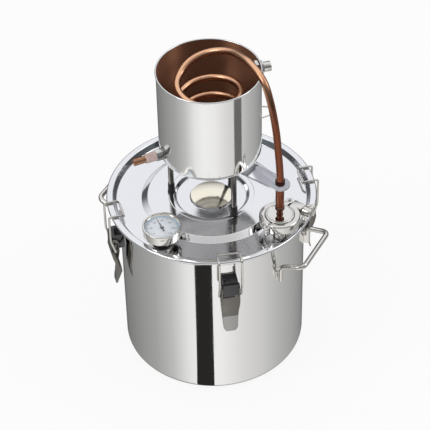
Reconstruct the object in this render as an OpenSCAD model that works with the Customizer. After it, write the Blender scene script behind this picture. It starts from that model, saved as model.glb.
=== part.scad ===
// Copper still: a lidded stainless boiler, a condenser bucket on three legs and a copper coil.
// Millimetres, +Z up. The origin is the centre of the boiler's base.
// Azimuths are measured from the front (-Y) towards +X.

/* [Boiler] */
// Outer diameter of the boiler wall
pot_d = 250; // [230:1:262]
// Height of the boiler up to its rolled rim
pot_h = 242; // [225:1:300]
// Sheet thickness of the boiler
pot_t = 1.2; // [0.8:0.1:1.6]
// Outer radius of the boiler's bottom edge
pot_fillet = 10; // [6:1:16]
// Width of the flange at the boiler's mouth
pot_flange_w = 5; // [4:0.5:6]
// Diameter of the bead that ends the flange
pot_bead_d = 3.6; // [3:0.2:4.4]

/* [Lid] */
// Outer diameter of the lid's rim
lid_d = 282.4; // [278:0.2:296]
// Sheet thickness of the lid
lid_t = 1.2; // [0.8:0.1:1.5]
// Height of the lid's rim above its panel
rim_rise = 8.6; // [7:0.2:11]
// Flat width of the lid's rim
rim_w = 8.6; // [7.6:0.2:10]
// Thickness of the hem that ends the rim
hem_d = 4.4; // [3.6:0.2:5]
// Outer diameter of the raised step
step_d = 188.6; // [180:0.2:192]
// Height of the raised step
step_rise = 5.6; // [4:0.2:7]
// Horizontal run of the step's sloping side
step_run = 8.6; // [6:0.2:10]
// Diameter of the central dish at its lip
dish_d = 101.2; // [96:0.2:106]
// Depth of the central dish below the step
dish_depth = 5.3; // [4:0.1:6]
// Horizontal run of the dish's sloping side
dish_run = 3.6; // [3:0.2:5]
// Width of the flat lip round the dish
ledge_w = 6.4; // [6:0.2:9]
// Height of the lip above the step
ledge_rise = 0.4; // [0.3:0.1:0.8]
// Diameter of the disc in the middle of the dish
disc_d = 55.4; // [44:0.2:80]
// Height of the disc's edge above the dish's floor
disc_rise = 2.6; // [1.6:0.2:4]
// Crown of the disc above its edge
disc_crown = 1.6; // [0.8:0.2:2.4]
// Thickness of the silicone gasket under the lid
gasket_t = 2.2; // [1.6:0.1:3]

/* [Latches] */
// Azimuth of each latch
latch_az = [9, 102.5, 190, 284.5];
// Width of the latch bracket
bracket_w = 20; // [18:0.5:22]
// Height of the bracket's top above the lever pivot
bracket_rise = 16.5; // [15:0.5:18]
// Height of the lever pivot below the lid's rim
pivot_drop = 52.5; // [48:0.5:58]
// Distance of the lever pivot from the boiler's wall
pivot_out = 14; // [13:0.5:15]
// Diameter of the lever's pivot pin
pin_d = 4; // [3.4:0.2:4.6]
// Distance between the lever's pivot and the bail's pivot
crank = 10; // [9:0.2:11]
// Angle by which the closed bail pivot lies inside the vertical
over_centre = 4; // [3:0.5:6]
// Outer width of the lever
lever_w = 24.4; // [23.6:0.2:24.8]
// Length of the lever from its pivot to its tip
lever_len = 74.5; // [68:0.5:80]
// Depth of the lever at its pivot
lever_depth = 12; // [11.5:0.1:12.5]
// Sheet thickness of lever and bracket
latch_t = 1.4; // [1:0.1:1.6]
// Diameter of the bail wire
wire_d = 3; // [2.4:0.1:3.2]
// Distance between the centres of the bail's arms
bail_w = 29.6; // [29.6:0.2:32]
// Distance the bail reaches inside the rim
bail_reach = 9; // [7:0.5:11]

/* [Handles] */
// Azimuth of the right handle
handle_az = 61.5; // [58:0.5:66]
// Diameter of the handle rod
handle_d = 7; // [6:0.5:8]
// Distance between the centres of a handle's feet
handle_span = 84.6; // [80:1:88]
// Distance between the handle's outer corners
grip_w = 77.4; // [72:1:80]
// Distance of the grip from the boiler's axis
grip_out = 155.3; // [150:1:170]
// Height of the handle's shoulders above the base
handle_z = 203; // [170:1:206]
// Rise of the grip above the shoulders
grip_rise = 8; // [0:1:12]
// Length of a handle's upright foot
foot_len = 24; // [18:1:30]

/* [Thermometer] */
// Distance of the thermometer from the boiler's axis
gauge_out = 110.9; // [109:0.1:112]
// Azimuth of the thermometer on the lid
gauge_az = -36; // [-42:1:-30]
// Diameter of the bezel
gauge_d = 51.6; // [46:0.2:54]
// Height of the case and bezel
gauge_h = 18; // [15:0.5:18.6]
// Height of the bezel's top above the lid's panel
gauge_top = 30.6; // [30:0.2:36]
// Wall of the case
gauge_t = 1; // [0.8:0.1:1.4]
// Thickness of the lens
lens_t = 2; // [1.5:0.1:2.4]
// Thickness of the dial plate
dial_t = 0.6; // [0.5:0.1:1]
// Distance between the dial and the lens
dial_gap = 3.6; // [3.2:0.1:4.2]
// Diameter of the probe
probe_d = 6.4; // [6:0.2:7]
// Length of the probe below the lid's panel
probe_len = 52; // [30:1:90]
// Width across the flats of the thermometer's nut
gauge_nut_af = 22; // [20:1:24]
// Length of the needle from its hub to its tip
needle_len = 17.5; // [14:0.5:19]
// Bearing of the resting needle, anticlockwise from the back of the dial
needle_rest = 22; // [0:1:60]

/* [Vapour port] */
// Distance of the vapour pipe from the boiler's axis
pipe_out = 113.7; // [112.6:0.1:114.6]
// Azimuth of the vapour pipe
pipe_az = 51; // [46:1:56]
// Outer diameter of the ferrule's neck
neck_d = 17.4; // [16:0.2:18]
// Wall of the ferrule's neck
neck_t = 1.6; // [1.2:0.1:2]
// Diameter of the ferrule's flange
flange_d = 45; // [43:0.5:46]
// Thickness of a flange at its edge
flange_t = 2; // [1.6:0.1:2.4]
// Height of a flange's bevel
bevel_h = 1.8; // [1.4:0.1:2.2]
// Thickness of the gasket between the flanges
seal_t = 1.4; // [1:0.1:2]
// Height of the vapour cap's top above the lid's panel
cap_top = 29.6; // [28:0.2:31]
// Outer diameter of the narrow neck between the cap and the riser
spigot_d = 8.2; // [7.6:0.1:8.8]
// Outer diameter of the clamp
clamp_d = 54; // [53:0.5:56]
// Height of the clamp
clamp_h = 13; // [12:0.5:14]
// Gap between the clamp's halves
clamp_split = 3; // [2:0.2:4]
// Diameter of the clamp's bolt
bolt_d = 5; // [4.5:0.1:5.5]
// Length of the clamp's bolt from its pivot
bolt_len = 32; // [30:0.5:36]
// Diameter of the wing nut's body
nut_d = 14; // [12:0.5:15]
// Span of the wing nut's wings
wing_span = 25; // [22:0.5:26]

/* [Condenser] */
// Outer diameter of the condenser bucket
bucket_d = 134.8; // [130:0.2:140]
// Height of the bucket
bucket_h = 131; // [120:1:150]
// Sheet thickness of the bucket
bucket_t = 1; // [0.8:0.1:1.2]
// Outer radius of the bucket's bottom edge
bucket_fillet = 8; // [6:0.5:12]
// Height of the bucket's base above the dish's lip
bucket_lift = 75.5; // [70:0.5:90]
// Diameter of a condenser leg
leg_d = 7.6; // [6:0.2:9]
// Azimuth of each leg
leg_az = [33, 149, 265];
// Height of a rubber foot
tip_h = 15; // [12:0.5:20]
// Diameter of a rubber foot
tip_d = 10.4; // [9.6:0.2:12]
// Width of the strap that steadies the pipe
strap_w = 26; // [22:0.5:30]
// Thickness of the strap
strap_t = 2.4; // [1.6:0.2:3]
// Azimuth of the distillate outlet
outlet_az = 295; // [292:1:300]
// Height of the outlet above the bucket's base
outlet_rise = 19.5; // [18:0.5:26]
// Azimuth of the cooling water outlet
water_out_az = 105; // [95:1:112]
// Depth of the water outlet below the bucket's rim
water_out_drop = 11.5; // [11.5:0.5:20]
// Azimuth of the cooling water inlet
water_in_az = 165; // [155:1:175]
// Height of the water inlet above the bucket's base
water_in_rise = 20; // [18:0.5:26]
// Diameter of a water nipple's stem
nipple_d = 13.2; // [12.2:0.2:13.6]
// Azimuth of the hose hook
hook_az = 99.5; // [95:0.5:104]
// Height of the hose hook above the bucket's base
hook_rise = 52.5; // [40:0.5:70]

/* [Copper coil] */
// Outer diameter of the copper tube
tube_d = 9.5; // [8:0.1:10]
// Wall of the copper tube
tube_t = 1; // [0.8:0.1:1.2]
// Radius of the coil's centre line
coil_r = 41; // [38:0.5:44]
// Full turns of the coil
coil_turns = 3; // [2:1:4]
// Height of the lead's crest above the bucket's rim
crest_rise = 16.5; // [12:0.5:24]
// Depth of the first full turn below the bucket's rim
coil_drop = 22; // [16:0.5:28]
// Radius of the bend at the coil's outlet
exit_bend = 18; // [15:0.5:20]
// Height by which the outlet bend falls
exit_fall = 6; // [3:0.5:8]
// Outer diameter of the riser below the strap
riser_d = 11; // [10.6:0.1:12]

/* [Hidden] */
$fn = 96;

// Clearances and the overrun of every cut
seat = 0.3;
fit = 0.05;
slide = 0.15;
over = 1;

// Facets of a large cut
fine = 360;

// Boiler and lid
pot_r = pot_d / 2;
lid_r = lid_d / 2;
pot_inner_r = pot_r - pot_t;
flange_r = pot_r + pot_flange_w;
panel_z = pot_h + gasket_t + lid_t;
rim_z = panel_z + rim_rise;
rim_inner_r = lid_r - rim_w;
rim_foot_r = rim_inner_r - rim_rise * 0.53;
hem_r = hem_d / 2;
step_z = panel_z + step_rise;
step_top_r = step_d / 2 - step_run;
dish_r = dish_d / 2;
dish_floor_r = dish_r - dish_run;
dish_z = step_z - dish_depth;
ledge_z = step_z + ledge_rise;
ledge_r = dish_r + ledge_w;
disc_r = disc_d / 2;
disc_z = dish_z + disc_rise;
disc_side = 1.6;
lid_bend = 2;
small_bend = 0.3;
gasket_lip_t = 2.4;
gasket_lip_h = 6;
pad_t = 2.4;
pad_h = 14;
handle_bend = 9;

// Latches
latch_pivot_r = pot_r + pivot_out;
latch_pivot_z = rim_z - pivot_drop;
bail_pivot_r = latch_pivot_r - crank * sin(over_centre);
bail_pivot_z = latch_pivot_z - crank * cos(over_centre);
wire_r = wire_d / 2;
bail_gap = 1.6;
arm_r = lid_r + wire_r + bail_gap;
arm_run = 22;
hook_r = rim_inner_r - bail_reach;
hook_dip = 4;
bail_bend = 3.5;
bracket_front = 4;
bracket_drop = 7.5;
bracket_bend = 6;
pin_head = 0.5;
pin_gap = 0.2;

// Vapour port
riser_r = riser_d / 2;
tube_r = tube_d / 2;
ferrule_bore_r = neck_d / 2 - neck_t;
plateau_h = 3;
bevel_run = 3.2;
flange_edge_r = flange_d / 2;
plateau_r = flange_edge_r - bevel_run;
cap_z = panel_z + cap_top;
cap_base_z = cap_z - plateau_h - bevel_h - flange_t;
seal_z = cap_base_z - seal_t;
clamp_mid = seal_z + seal_t / 2;
spigot_r = spigot_d / 2;
spigot_h = 9;
collar_h = 4;
collar_t = 0.7;
collar_floor = 1;
riser_foot_z = cap_z + spigot_h + collar_floor;
clamp_az = 54;
clamp_r = clamp_d / 2;
clamp_edge = 1.2;
ear_out = 2.8;
ear_r = 5;
bolt_pin_y = 4;
bolt_pin_d = 3.6;
eye_r = 4;
eye_h = 6;
hinge_pin_d = 2.6;
knuckle_r = 2.6;
knuckle_half = 2.2;
nut_face = 22;
nut_len = 12;
nut_turn = 30;
wing_t = 2.4;

// Condenser
bucket_r = bucket_d / 2;
bucket_inner_r = bucket_r - bucket_t;
bucket_z = step_z + bucket_lift;
bucket_top = bucket_z + bucket_h;
bead_d = 2.4;
leg_out = dish_r + ledge_w / 2;
leg_t = 1;
tip_floor = 2;
outlet_z = bucket_z + outlet_rise;
water_out_z = bucket_top - water_out_drop;
water_in_z = bucket_z + water_in_rise;
fitting_d = 12;
nut_af = 13.6;
flat_out = 2;
outlet_nut_l = 9;
water_nut_l = 2.4;
locknut_l = 4;
thread_end = 2;
sleeve_l = 15;
sleeve_t = 2;
spout_l = 16;
nipple_l = 10;
nipple_t = 2;
stub_step = 0.3;
stub_neck = 0.5;
water_thread_d = nipple_d - 2 * stub_step;
coupling_l = 6;
coupling_t = 0.9;
hook_d = 1.8;
hook_w = 26;
hook_grip = 16;
hook_out = 13;
hook_bend = 3;

// Placing

function polar(r, az, z = 0) = [r * sin(az), -r * cos(az), z];

module at_azimuth(az) {
    rotate([0, 0, az]) children();
}

// Lays what is drawn along +Z on the horizontal line that leaves the axis at an azimuth
module radial(az, z, r) {
    at_azimuth(az) translate([0, -r, z]) rotate([90, 0, 0]) children();
}

// Extrudes an outline of (radius, height) points across the tangent at the front
module side_plate(points, w) {
    rotate([90, 0, -90]) linear_extrude(height = w, center = true) polygon(points);
}

module cross_pin(r0, z0, r, w) {
    translate([0, -r0, z0]) rotate([0, 90, 0]) cylinder(r = r, h = w, center = true);
}

module spun(points) {
    rotate_extrude() polygon(points);
}

module ring(r0, r1, z0, z1) {
    translate([0, 0, z0]) difference() {
        cylinder(r = r1, h = z1 - z0);
        translate([0, 0, -over]) cylinder(r = r0, h = z1 - z0 + 2 * over);
    }
}

module hex(af, h) {
    cylinder(r = af / 2 / cos(30), h = h, $fn = 6);
}

// Outlines: corners are rounded with arcs, and a line is moved sideways to give a sheet

function unit(v) = v / norm(v);
function left_of(v) = [-v[1], v[0]];
function before(p, i) = p[(i + len(p) - 1) % len(p)];
function after(p, i) = p[(i + 1) % len(p)];
function turn(p, i) = sign(cross(p[i] - before(p, i), after(p, i) - p[i]));
function reversed(p) = [for (i = [len(p) - 1 : -1 : 0]) p[i]];

function corner(p, i, r, n = 6) =
    let (u = unit(before(p, i) - p[i]), v = unit(after(p, i) - p[i]), half = acos(u * v) / 2)
    let (c = p[i] + unit(u + v) * r / sin(half), s = turn(p, i), from = p[i] + u * r / tan(half) - c)
    let (a0 = atan2(from[1], from[0]), step = s * (180 - 2 * half) / n)
    [for (k = [0 : n]) c + r * [cos(a0 + k * step), sin(a0 + k * step)]];

function rounded(p, radii) =
    [for (i = [0 : len(p) - 1]) each radii[i] == 0 ? [p[i]] : corner(p, i, radii[i])];

function moved_point(p, i, t) =
    i == 0 ? p[0] + t * left_of(unit(p[1] - p[0])) :
    i == len(p) - 1 ? p[i] + t * left_of(unit(p[i] - p[i - 1])) :
    let (a = left_of(unit(p[i] - p[i - 1])), b = left_of(unit(p[i + 1] - p[i])))
    p[i] + t * (a + b) / (1 + a * b);

function moved_line(p, t) = [for (i = [0 : len(p) - 1]) moved_point(p, i, t)];

// The other face of a bent sheet keeps the centres of its bends
function moved_bends(p, radii, t) = [for (i = [0 : len(p) - 1]) radii[i] == 0 ? 0 : radii[i] - turn(p, i) * t];

// Bent rods: the path takes an arc at each bend

function bend_angle(p, i) = acos(unit(p[i] - p[i - 1]) * unit(p[i + 1] - p[i]));

function bend_arc(p, i, bend, steps) =
    let (u = unit(p[i] - p[i - 1]), v = unit(p[i + 1] - p[i]), a = bend_angle(p, i), n = unit(v - u * (u * v)))
    [for (k = [0 : steps]) let (s = a * k / steps)
        p[i] - u * bend * tan(a / 2) + n * bend * (1 - cos(s)) + u * bend * sin(s)];

function bent_path(p, bends, steps) =
    [for (i = [0 : len(p) - 1]) each bends[i] == 0 ? [p[i]] : bend_arc(p, i, bends[i], steps)];

// Tubes swept along computed points

function tangents(p) =
    [for (i = [0 : len(p) - 1]) unit(p[min(i + 1, len(p) - 1)] - p[max(i - 1, 0)])];

function across(t, n) = unit(n - t * (n * t));

// A normal carried along the path without twist
function normals(t, n0) =
    [for (i = 0, n = across(t[0], n0); i < len(t); n = i + 1 < len(t) ? across(t[i + 1], n) : n, i = i + 1) n];

function ring_points(c, t, n, r, sides) =
    let (b = cross(t, n)) [for (k = [0 : sides - 1]) c + r * (cos(k * 360 / sides) * n + sin(k * 360 / sides) * b)];

module swept(path, r, bore, n0, sides) {
    t = tangents(path);
    n = normals(t, n0);
    count = len(path);
    inner = count * sides;
    last = (count - 1) * sides;
    outside = [for (i = [0 : count - 1]) each ring_points(path[i], t[i], n[i], r, sides)];
    inside = [for (i = [0 : count - 1]) each ring_points(path[i], t[i], n[i], bore, sides)];
    walls = [for (i = [0 : count - 2], k = [0 : sides - 1])
        let (a = i * sides + k, b = i * sides + (k + 1) % sides)
        each [[a, a + sides, b + sides], [a, b + sides, b]]];
    bore_walls = [for (f = walls) [f[0] + inner, f[2] + inner, f[1] + inner]];
    hollow_ends = [for (k = [0 : sides - 1]) let (j = (k + 1) % sides) each [
        [k, j, inner + j], [k, inner + j, inner + k],
        [last + j, last + k, inner + last + k], [last + j, inner + last + k, inner + last + j]
    ]];
    solid_ends = [for (k = [1 : sides - 2]) each [[0, k, k + 1], [last, last + k + 1, last + k]]];
    if (bore > 0) polyhedron(concat(outside, inside), concat(walls, bore_walls, hollow_ends));
    if (bore == 0) polyhedron(outside, concat(walls, solid_ends));
}

// A wire or rod whose flats and corners straddle its true surface
module bent_rod(p, bends, r, n0, sides, steps = 4) {
    swept(bent_path(p, bends, steps), r / sqrt(cos(180 / sides)), 0, n0, sides);
}

// A smooth curve through guide points, n steps a span, with the last point only a guide
function smooth(p, n) =
    [for (i = [0 : len(p) - 3], k = [0 : n - 1])
        let (a = p[max(i - 1, 0)], b = p[i], c = p[i + 1], d = p[i + 2], t = k / n)
        (2 * b + (c - a) * t + (2 * a - 5 * b + 4 * c - d) * t * t + (3 * b - a - 3 * c + d) * t * t * t) / 2];

// Boiler

module boiler_pot() {
    bead_r = pot_bead_d / 2;
    wall = [
        [0, 0],
        [pot_r, 0],
        [pot_r, pot_h - pot_bead_d],
        [flange_r, pot_h - pot_bead_d],
        [flange_r, pot_h],
        [pot_inner_r, pot_h],
        [pot_inner_r, pot_t],
        [0, pot_t]
    ];
    bends = [0, pot_fillet, small_bend, bead_r * 0.95, bead_r * 0.95, pot_t / 2, pot_fillet - pot_t, 0];
    color("silver") spun(rounded(wall, bends));
}

module handle(az) {
    reach = pot_r + handle_d / 2 + pad_t;
    foot_out = sqrt(pow(reach, 2) - pow(handle_span / 2, 2));
    low = handle_z - foot_len;
    high = handle_z + grip_rise;
    path = [
        [-handle_span / 2, -foot_out, low],
        [-handle_span / 2, -foot_out, handle_z],
        [-grip_w / 2, -grip_out, high],
        [grip_w / 2, -grip_out, high],
        [handle_span / 2, -foot_out, handle_z],
        [handle_span / 2, -foot_out, low]
    ];
    bends = [0, handle_bend, handle_bend, handle_bend, handle_bend, 0];
    color("silver") at_azimuth(az) {
        bent_rod(path, bends, handle_d / 2, [1, 0, 0], 12);
        for (side = [-1, 1]) at_azimuth(side * atan2(handle_span / 2, foot_out)) handle_pad(low, reach);
    }
}

// Welding pad between a foot and the wall
module handle_pad(low, reach) {
    difference() {
        translate([-handle_d / 2, -reach, low]) cube([handle_d, reach - pot_inner_r, pad_h]);
        translate([0, 0, low - over]) cylinder(r = pot_r + seat / 2, h = pad_h + 2 * over, $fn = fine);
    }
}

module handle_right() {
    handle(handle_az);
}

module handle_left() {
    handle(handle_az + 180);
}

// Lid

module lid() {
    line = [
        [disc_r, disc_z],
        [disc_r + disc_side, dish_z],
        [dish_floor_r, dish_z],
        [dish_r, ledge_z],
        [ledge_r, ledge_z],
        [ledge_r + 1.5 * ledge_rise, step_z],
        [step_top_r, step_z],
        [step_d / 2, panel_z],
        [rim_foot_r, panel_z],
        [rim_inner_r, rim_z],
        [lid_r - hem_d, rim_z]
    ];
    bends = [0, small_bend, lid_bend, lid_bend, 1.1 * lid_t, small_bend, lid_bend, lid_bend, lid_bend, lid_bend, 0];
    hem = [
        [lid_r - hem_d, rim_z],
        [lid_r, rim_z],
        [lid_r, rim_z - hem_d],
        [lid_r - hem_d, rim_z - hem_d],
        [lid_r - hem_d, rim_z - lid_t]
    ];
    hem_arcs = rounded(hem, [0, hem_r, 0.9 * hem_r, 0.9 * hem_r, 0]);
    under = moved_line(line, -lid_t);
    dome_r = (disc_r * disc_r + disc_crown * disc_crown) / 2 / disc_crown;
    dome = [for (k = [0 : 8]) let (a = asin(disc_r / dome_r) * k / 9)
        [dome_r * sin(a), disc_z + disc_crown - dome_r * (1 - cos(a))]];
    dome_under = [for (k = [8 : -1 : 0]) let (a = asin(disc_r / dome_r) * k / 9)
        [(dome_r - lid_t) * sin(a), disc_z + disc_crown - dome_r + (dome_r - lid_t) * cos(a)]];
    section = concat(
        dome,
        rounded(line, bends),
        [for (i = [1 : len(hem_arcs) - 2]) hem_arcs[i]],
        reversed(rounded(under, moved_bends(line, bends, -lid_t))),
        dome_under
    );
    color("gainsboro") difference() {
        spun(section);
        translate(polar(pipe_out, pipe_az, panel_z - lid_t - over))
            cylinder(r = ferrule_bore_r, h = lid_t + 2 * over);
        translate(polar(gauge_out, gauge_az, panel_z - lid_t - over))
            cylinder(r = thread_r + slide, h = lid_t + 2 * over);
    }
}

module lid_gasket() {
    inner = pot_inner_r - slide - gasket_lip_t;
    outer = flange_r - pot_bead_d / 2;
    color("whitesmoke") spun([
        [inner, pot_h - gasket_lip_h],
        [pot_inner_r - slide, pot_h - gasket_lip_h],
        [pot_inner_r - slide, pot_h],
        [outer, pot_h],
        [outer, pot_h + gasket_t],
        [inner, pot_h + gasket_t]
    ]);
}

// Latches

module latch_bracket(az) {
    back = pot_inner_r - pot_t;
    front = latch_pivot_r + bracket_front;
    top = latch_pivot_z + bracket_rise;
    bottom = latch_pivot_z - bracket_drop;
    hood = rounded([[back, bottom], [front, bottom], [front, top], [back, top]], [0, 0, bracket_bend, 0]);
    hollow = rounded(
        [[back - over, bottom - over], [front - latch_t, bottom - over], [front - latch_t, top - latch_t],
            [back - over, top - latch_t]],
        [0, 0, bracket_bend - latch_t, 0]
    );
    color("darkgray") at_azimuth(latch_az[az]) difference() {
        side_plate(hood, bracket_w);
        side_plate(hollow, bracket_w - 2 * latch_t);
        cross_pin(latch_pivot_r, latch_pivot_z, pin_d / 2 + fit, bracket_w + 2 * over);
        translate([0, 0, bottom - 2 * over])
            cylinder(r = pot_r + seat / 2, h = top - bottom + 4 * over, $fn = fine);
    }
}

module latch_bracket_1() {
    latch_bracket(0);
}

module latch_bracket_2() {
    latch_bracket(1);
}

module latch_bracket_3() {
    latch_bracket(2);
}

module latch_bracket_4() {
    latch_bracket(3);
}

module latch_pins() {
    head = lever_w / 2 + pin_gap;
    color("dimgray") for (az = latch_az) at_azimuth(az) {
        cross_pin(latch_pivot_r, latch_pivot_z, pin_d / 2, 2 * head + 2 * pin_head);
        for (side = [-1, 1]) translate([side * (head + pin_head / 2), 0, 0])
            cross_pin(latch_pivot_r, latch_pivot_z, pin_d * 0.75, pin_head);
    }
}

// Outline places of the lever: outward in shares of its depth, down in shares of its length
web_shares = [[0.37, 0.115], [0.44, 0.18], [0.29, 0.315], [-0.12, 0.53], [-0.29, 0.665], [-0.16, 0.855], [0.04, 1]];
ear_shares = [[-0.71, 0.665], [-0.62, 0.53], [-0.36, 0.315], [-0.52, 0.154], [-0.52, -0.05], [-0.25, -0.14],
    [0.17, -0.14], [0.37, -0.08]];
taper_shares = [[1, -0.2], [1, 0.3], [0.88, 0.69], [0.83, 0.86], [0.8, 0.93], [0.5, 1.001]];
lip_row = 5;

function lever_point(s) = [latch_pivot_r + s[0] * lever_depth, latch_pivot_z - s[1] * lever_len];

function lever_front(inset) =
    let (right = [for (s = taper_shares) [s[0] * lever_w / 2 - inset, latch_pivot_z - s[1] * lever_len]])
    concat(right, reversed([for (p = right) [-p[0], p[1]]]));

module front_plate(points) {
    translate([0, 2 * lever_depth - latch_pivot_r, 0]) rotate([90, 0, 0])
        linear_extrude(height = 4 * lever_depth) polygon(points);
}

module latch_lever(n) {
    web = [for (s = web_shares) lever_point(s)];
    back = moved_line(web, -latch_t);
    outline = concat(web, [back[6], back[lip_row]], [for (s = ear_shares) lever_point(s)]);
    bends = [0, 6, 8, 8, 8, 8, 0, 0, 0, 3, 5, 5, 5, 5, 3, 3, 3];
    rear = latch_pivot_r - 2 * lever_depth;
    top = latch_pivot_z + 2 * lever_depth;
    front = latch_pivot_r + lever_depth;
    channel = concat(
        [[rear, top], [front, top], [front, back[0][1]]],
        [for (i = [0 : lip_row]) back[i]],
        [[rear, back[lip_row][1]]]
    );
    channel_bends = concat([0, 0, 0, 0], [for (i = [1 : lip_row - 1]) bends[i] - turn(web, i) * -latch_t], [0, 0]);
    color("lightgray") at_azimuth(latch_az[n]) difference() {
        intersection() {
            side_plate(rounded(outline, bends), 2 * lever_w);
            front_plate(lever_front(0));
        }
        intersection() {
            side_plate(rounded(channel, channel_bends), 2 * lever_w);
            front_plate(lever_front(latch_t));
        }
        cross_pin(latch_pivot_r, latch_pivot_z, pin_d / 2 + fit, 2 * lever_w);
        cross_pin(bail_pivot_r, bail_pivot_z, wire_r + fit, 2 * lever_w);
    }
}

module latch_lever_1() {
    latch_lever(0);
}

module latch_lever_2() {
    latch_lever(1);
}

module latch_lever_3() {
    latch_lever(2);
}

module latch_lever_4() {
    latch_lever(3);
}

module latch_bail(n) {
    half = bail_w / 2;
    tip = lever_w / 2 - latch_t - seat;
    start = lever_w / 2 + slide;
    lapped = start + seat;
    top = rim_z + seat + wire_r;
    side = [
        [start, -bail_pivot_r, bail_pivot_z],
        [half, -bail_pivot_r, bail_pivot_z],
        [half, -arm_r, bail_pivot_z + arm_run],
        [half, -arm_r, top],
        [half, -hook_r - hook_dip, top],
        [half, -hook_r, top - hook_dip]
    ];
    bends = [0, half - lapped - slide, 4 * bail_bend, bail_bend, wire_d, bail_bend];
    path = concat([for (p = side) [-p[0], p[1], p[2]]], reversed(side));
    color("silver") at_azimuth(latch_az[n]) {
        bent_rod(path, concat(bends, reversed(bends)), wire_r, [0, 0, 1], 8, 3);
        for (end = [-1, 1]) translate([end * (tip + lapped) / 2, 0, 0])
            cross_pin(bail_pivot_r, bail_pivot_z, wire_r, lapped - tip);
    }
}

module latch_bail_1() {
    latch_bail(0);
}

module latch_bail_2() {
    latch_bail(1);
}

module latch_bail_3() {
    latch_bail(2);
}

module latch_bail_4() {
    latch_bail(3);
}

// Thermometer

gauge_r = gauge_d / 2;
bezel_t = 0.75;
bezel_h = 5;
bezel_lip = 0.6;
lens_cover = 1.8;
thread_r = 6.5;
washer_t = 1.5;
washer_r = 13.5;
dial_r = 23;
dial_ledge = 1.5;
dial_bore_r = 1.5;
spindle_r = 0.9;
hub_r = 2.2;
hub_h = 1.8;
needle_t = 0.5;
needle_gap = 0.6;
probe_t = 0.8;
strip_r = 0.3;
strip_turns = 8;
strip_pitch = 2.2;
neck_below = 11;
locknut_t = 6;
gauge_locknut_af = 17;
case_r = gauge_r - bezel_t - fit;
gauge_z = panel_z + gauge_top;
case_z = gauge_z - gauge_h;
lens_z = gauge_z - bezel_lip - lens_t;
dial_z = lens_z - dial_gap;
probe_z = panel_z - probe_len;
probe_r = probe_d / 2;
probe_bore_r = probe_r - probe_t;
washer_top = panel_z + washer_t;
strip_centre_r = (spindle_r + probe_bore_r) / 2 + strip_r / 2;

module on_gauge(z = 0) {
    translate(polar(gauge_out, gauge_az, z)) children();
}

module thermometer_case() {
    color("gainsboro") on_gauge() spun([
        [probe_bore_r, case_z],
        [case_r - gauge_t, case_z],
        [case_r, case_z + gauge_t],
        [case_r, lens_z],
        [case_r - gauge_t, lens_z],
        [case_r - gauge_t, dial_z - dial_t],
        [dial_r - dial_ledge, dial_z - dial_t],
        [dial_r - dial_ledge, case_z + gauge_t],
        [probe_bore_r, case_z + gauge_t]
    ]);
}

module thermometer_bezel() {
    color("silver") on_gauge() spun([
        [gauge_r - bezel_t, gauge_z - bezel_h],
        [gauge_r, gauge_z - bezel_h],
        [gauge_r, gauge_z - bezel_lip],
        [gauge_r - bezel_lip, gauge_z],
        [gauge_r - lens_cover - bezel_lip, gauge_z],
        [gauge_r - lens_cover - bezel_lip, gauge_z - bezel_lip],
        [gauge_r - bezel_t, gauge_z - bezel_lip]
    ]);
}

module thermometer_lens() {
    color("lightcyan", 0.4) on_gauge(lens_z) cylinder(r = case_r, h = lens_t);
}

module thermometer_dial() {
    color("aliceblue") on_gauge() ring(dial_bore_r, case_r - gauge_t - slide, dial_z - dial_t, dial_z);
}

module thermometer_needle() {
    tail = needle_len * 0.4;
    tip_w = needle_t / 2;
    color("black") on_gauge(dial_z + needle_gap) at_azimuth(180 + needle_rest) difference() {
        union() {
            linear_extrude(height = needle_t) polygon([
                [-hub_r / 2, tail],
                [-hub_r / 3, -hub_r],
                [-tip_w / 2, -needle_len],
                [tip_w / 2, -needle_len],
                [hub_r / 3, -hub_r],
                [hub_r / 2, tail]
            ]);
            cylinder(r = hub_r, h = hub_h);
        }
        translate([0, 0, -over]) cylinder(r = spindle_r + fit / 2, h = hub_h + 2 * over);
    }
}

module thermometer_spindle() {
    low = probe_z + 2 * probe_t + seat;
    color("silver") on_gauge(low) cylinder(r = spindle_r, h = dial_z + needle_gap + hub_h - low, $fn = 32);
}

module thermometer_coil() {
    low = probe_z + 2 * probe_t + strip_r + seat / 2;
    path = [for (k = [0 : 12 * strip_turns])
        [strip_centre_r * cos(30 * k), strip_centre_r * sin(30 * k), low + strip_pitch * k / 12]];
    color("orange") on_gauge() swept(path, strip_r, 0, [0, 0, 1], 6);
}

module thermometer_probe() {
    neck_z = panel_z - lid_t - neck_below;
    color("silver") on_gauge() spun([
        [0, probe_z],
        [probe_r, probe_z],
        [probe_r, neck_z],
        [thread_r, neck_z],
        [thread_r, case_z],
        [probe_bore_r, case_z],
        [probe_bore_r, probe_z + 2 * probe_t],
        [0, probe_z + 2 * probe_t]
    ]);
}

module thermometer_nut() {
    color("silver") on_gauge(washer_top) difference() {
        hex(gauge_nut_af, case_z - washer_top - over);
        translate([0, 0, -over]) cylinder(r = thread_r + fit, h = gauge_h + 2 * over);
    }
}

module thermometer_washer() {
    color("dimgray") on_gauge() ring(thread_r + fit, washer_r, panel_z, washer_top);
}

module thermometer_locknut() {
    color("silver") on_gauge(panel_z - lid_t - locknut_t) difference() {
        hex(gauge_locknut_af, locknut_t);
        translate([0, 0, -over]) cylinder(r = thread_r + fit, h = locknut_t + 2 * over);
    }
}

// Vapour port

module on_pipe(z = 0) {
    translate(polar(pipe_out, pipe_az, z)) children();
}

module lid_ferrule() {
    color("silver") on_pipe() spun([
        [ferrule_bore_r, panel_z],
        [neck_d / 2, panel_z],
        [neck_d / 2, seal_z - flange_t - bevel_h],
        [plateau_r, seal_z - flange_t - bevel_h],
        [flange_edge_r, seal_z - flange_t],
        [flange_edge_r, seal_z],
        [ferrule_bore_r, seal_z]
    ]);
}

module ferrule_gasket() {
    color("black") on_pipe() ring(ferrule_bore_r, flange_edge_r - seat, seal_z, cap_base_z);
}

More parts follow.
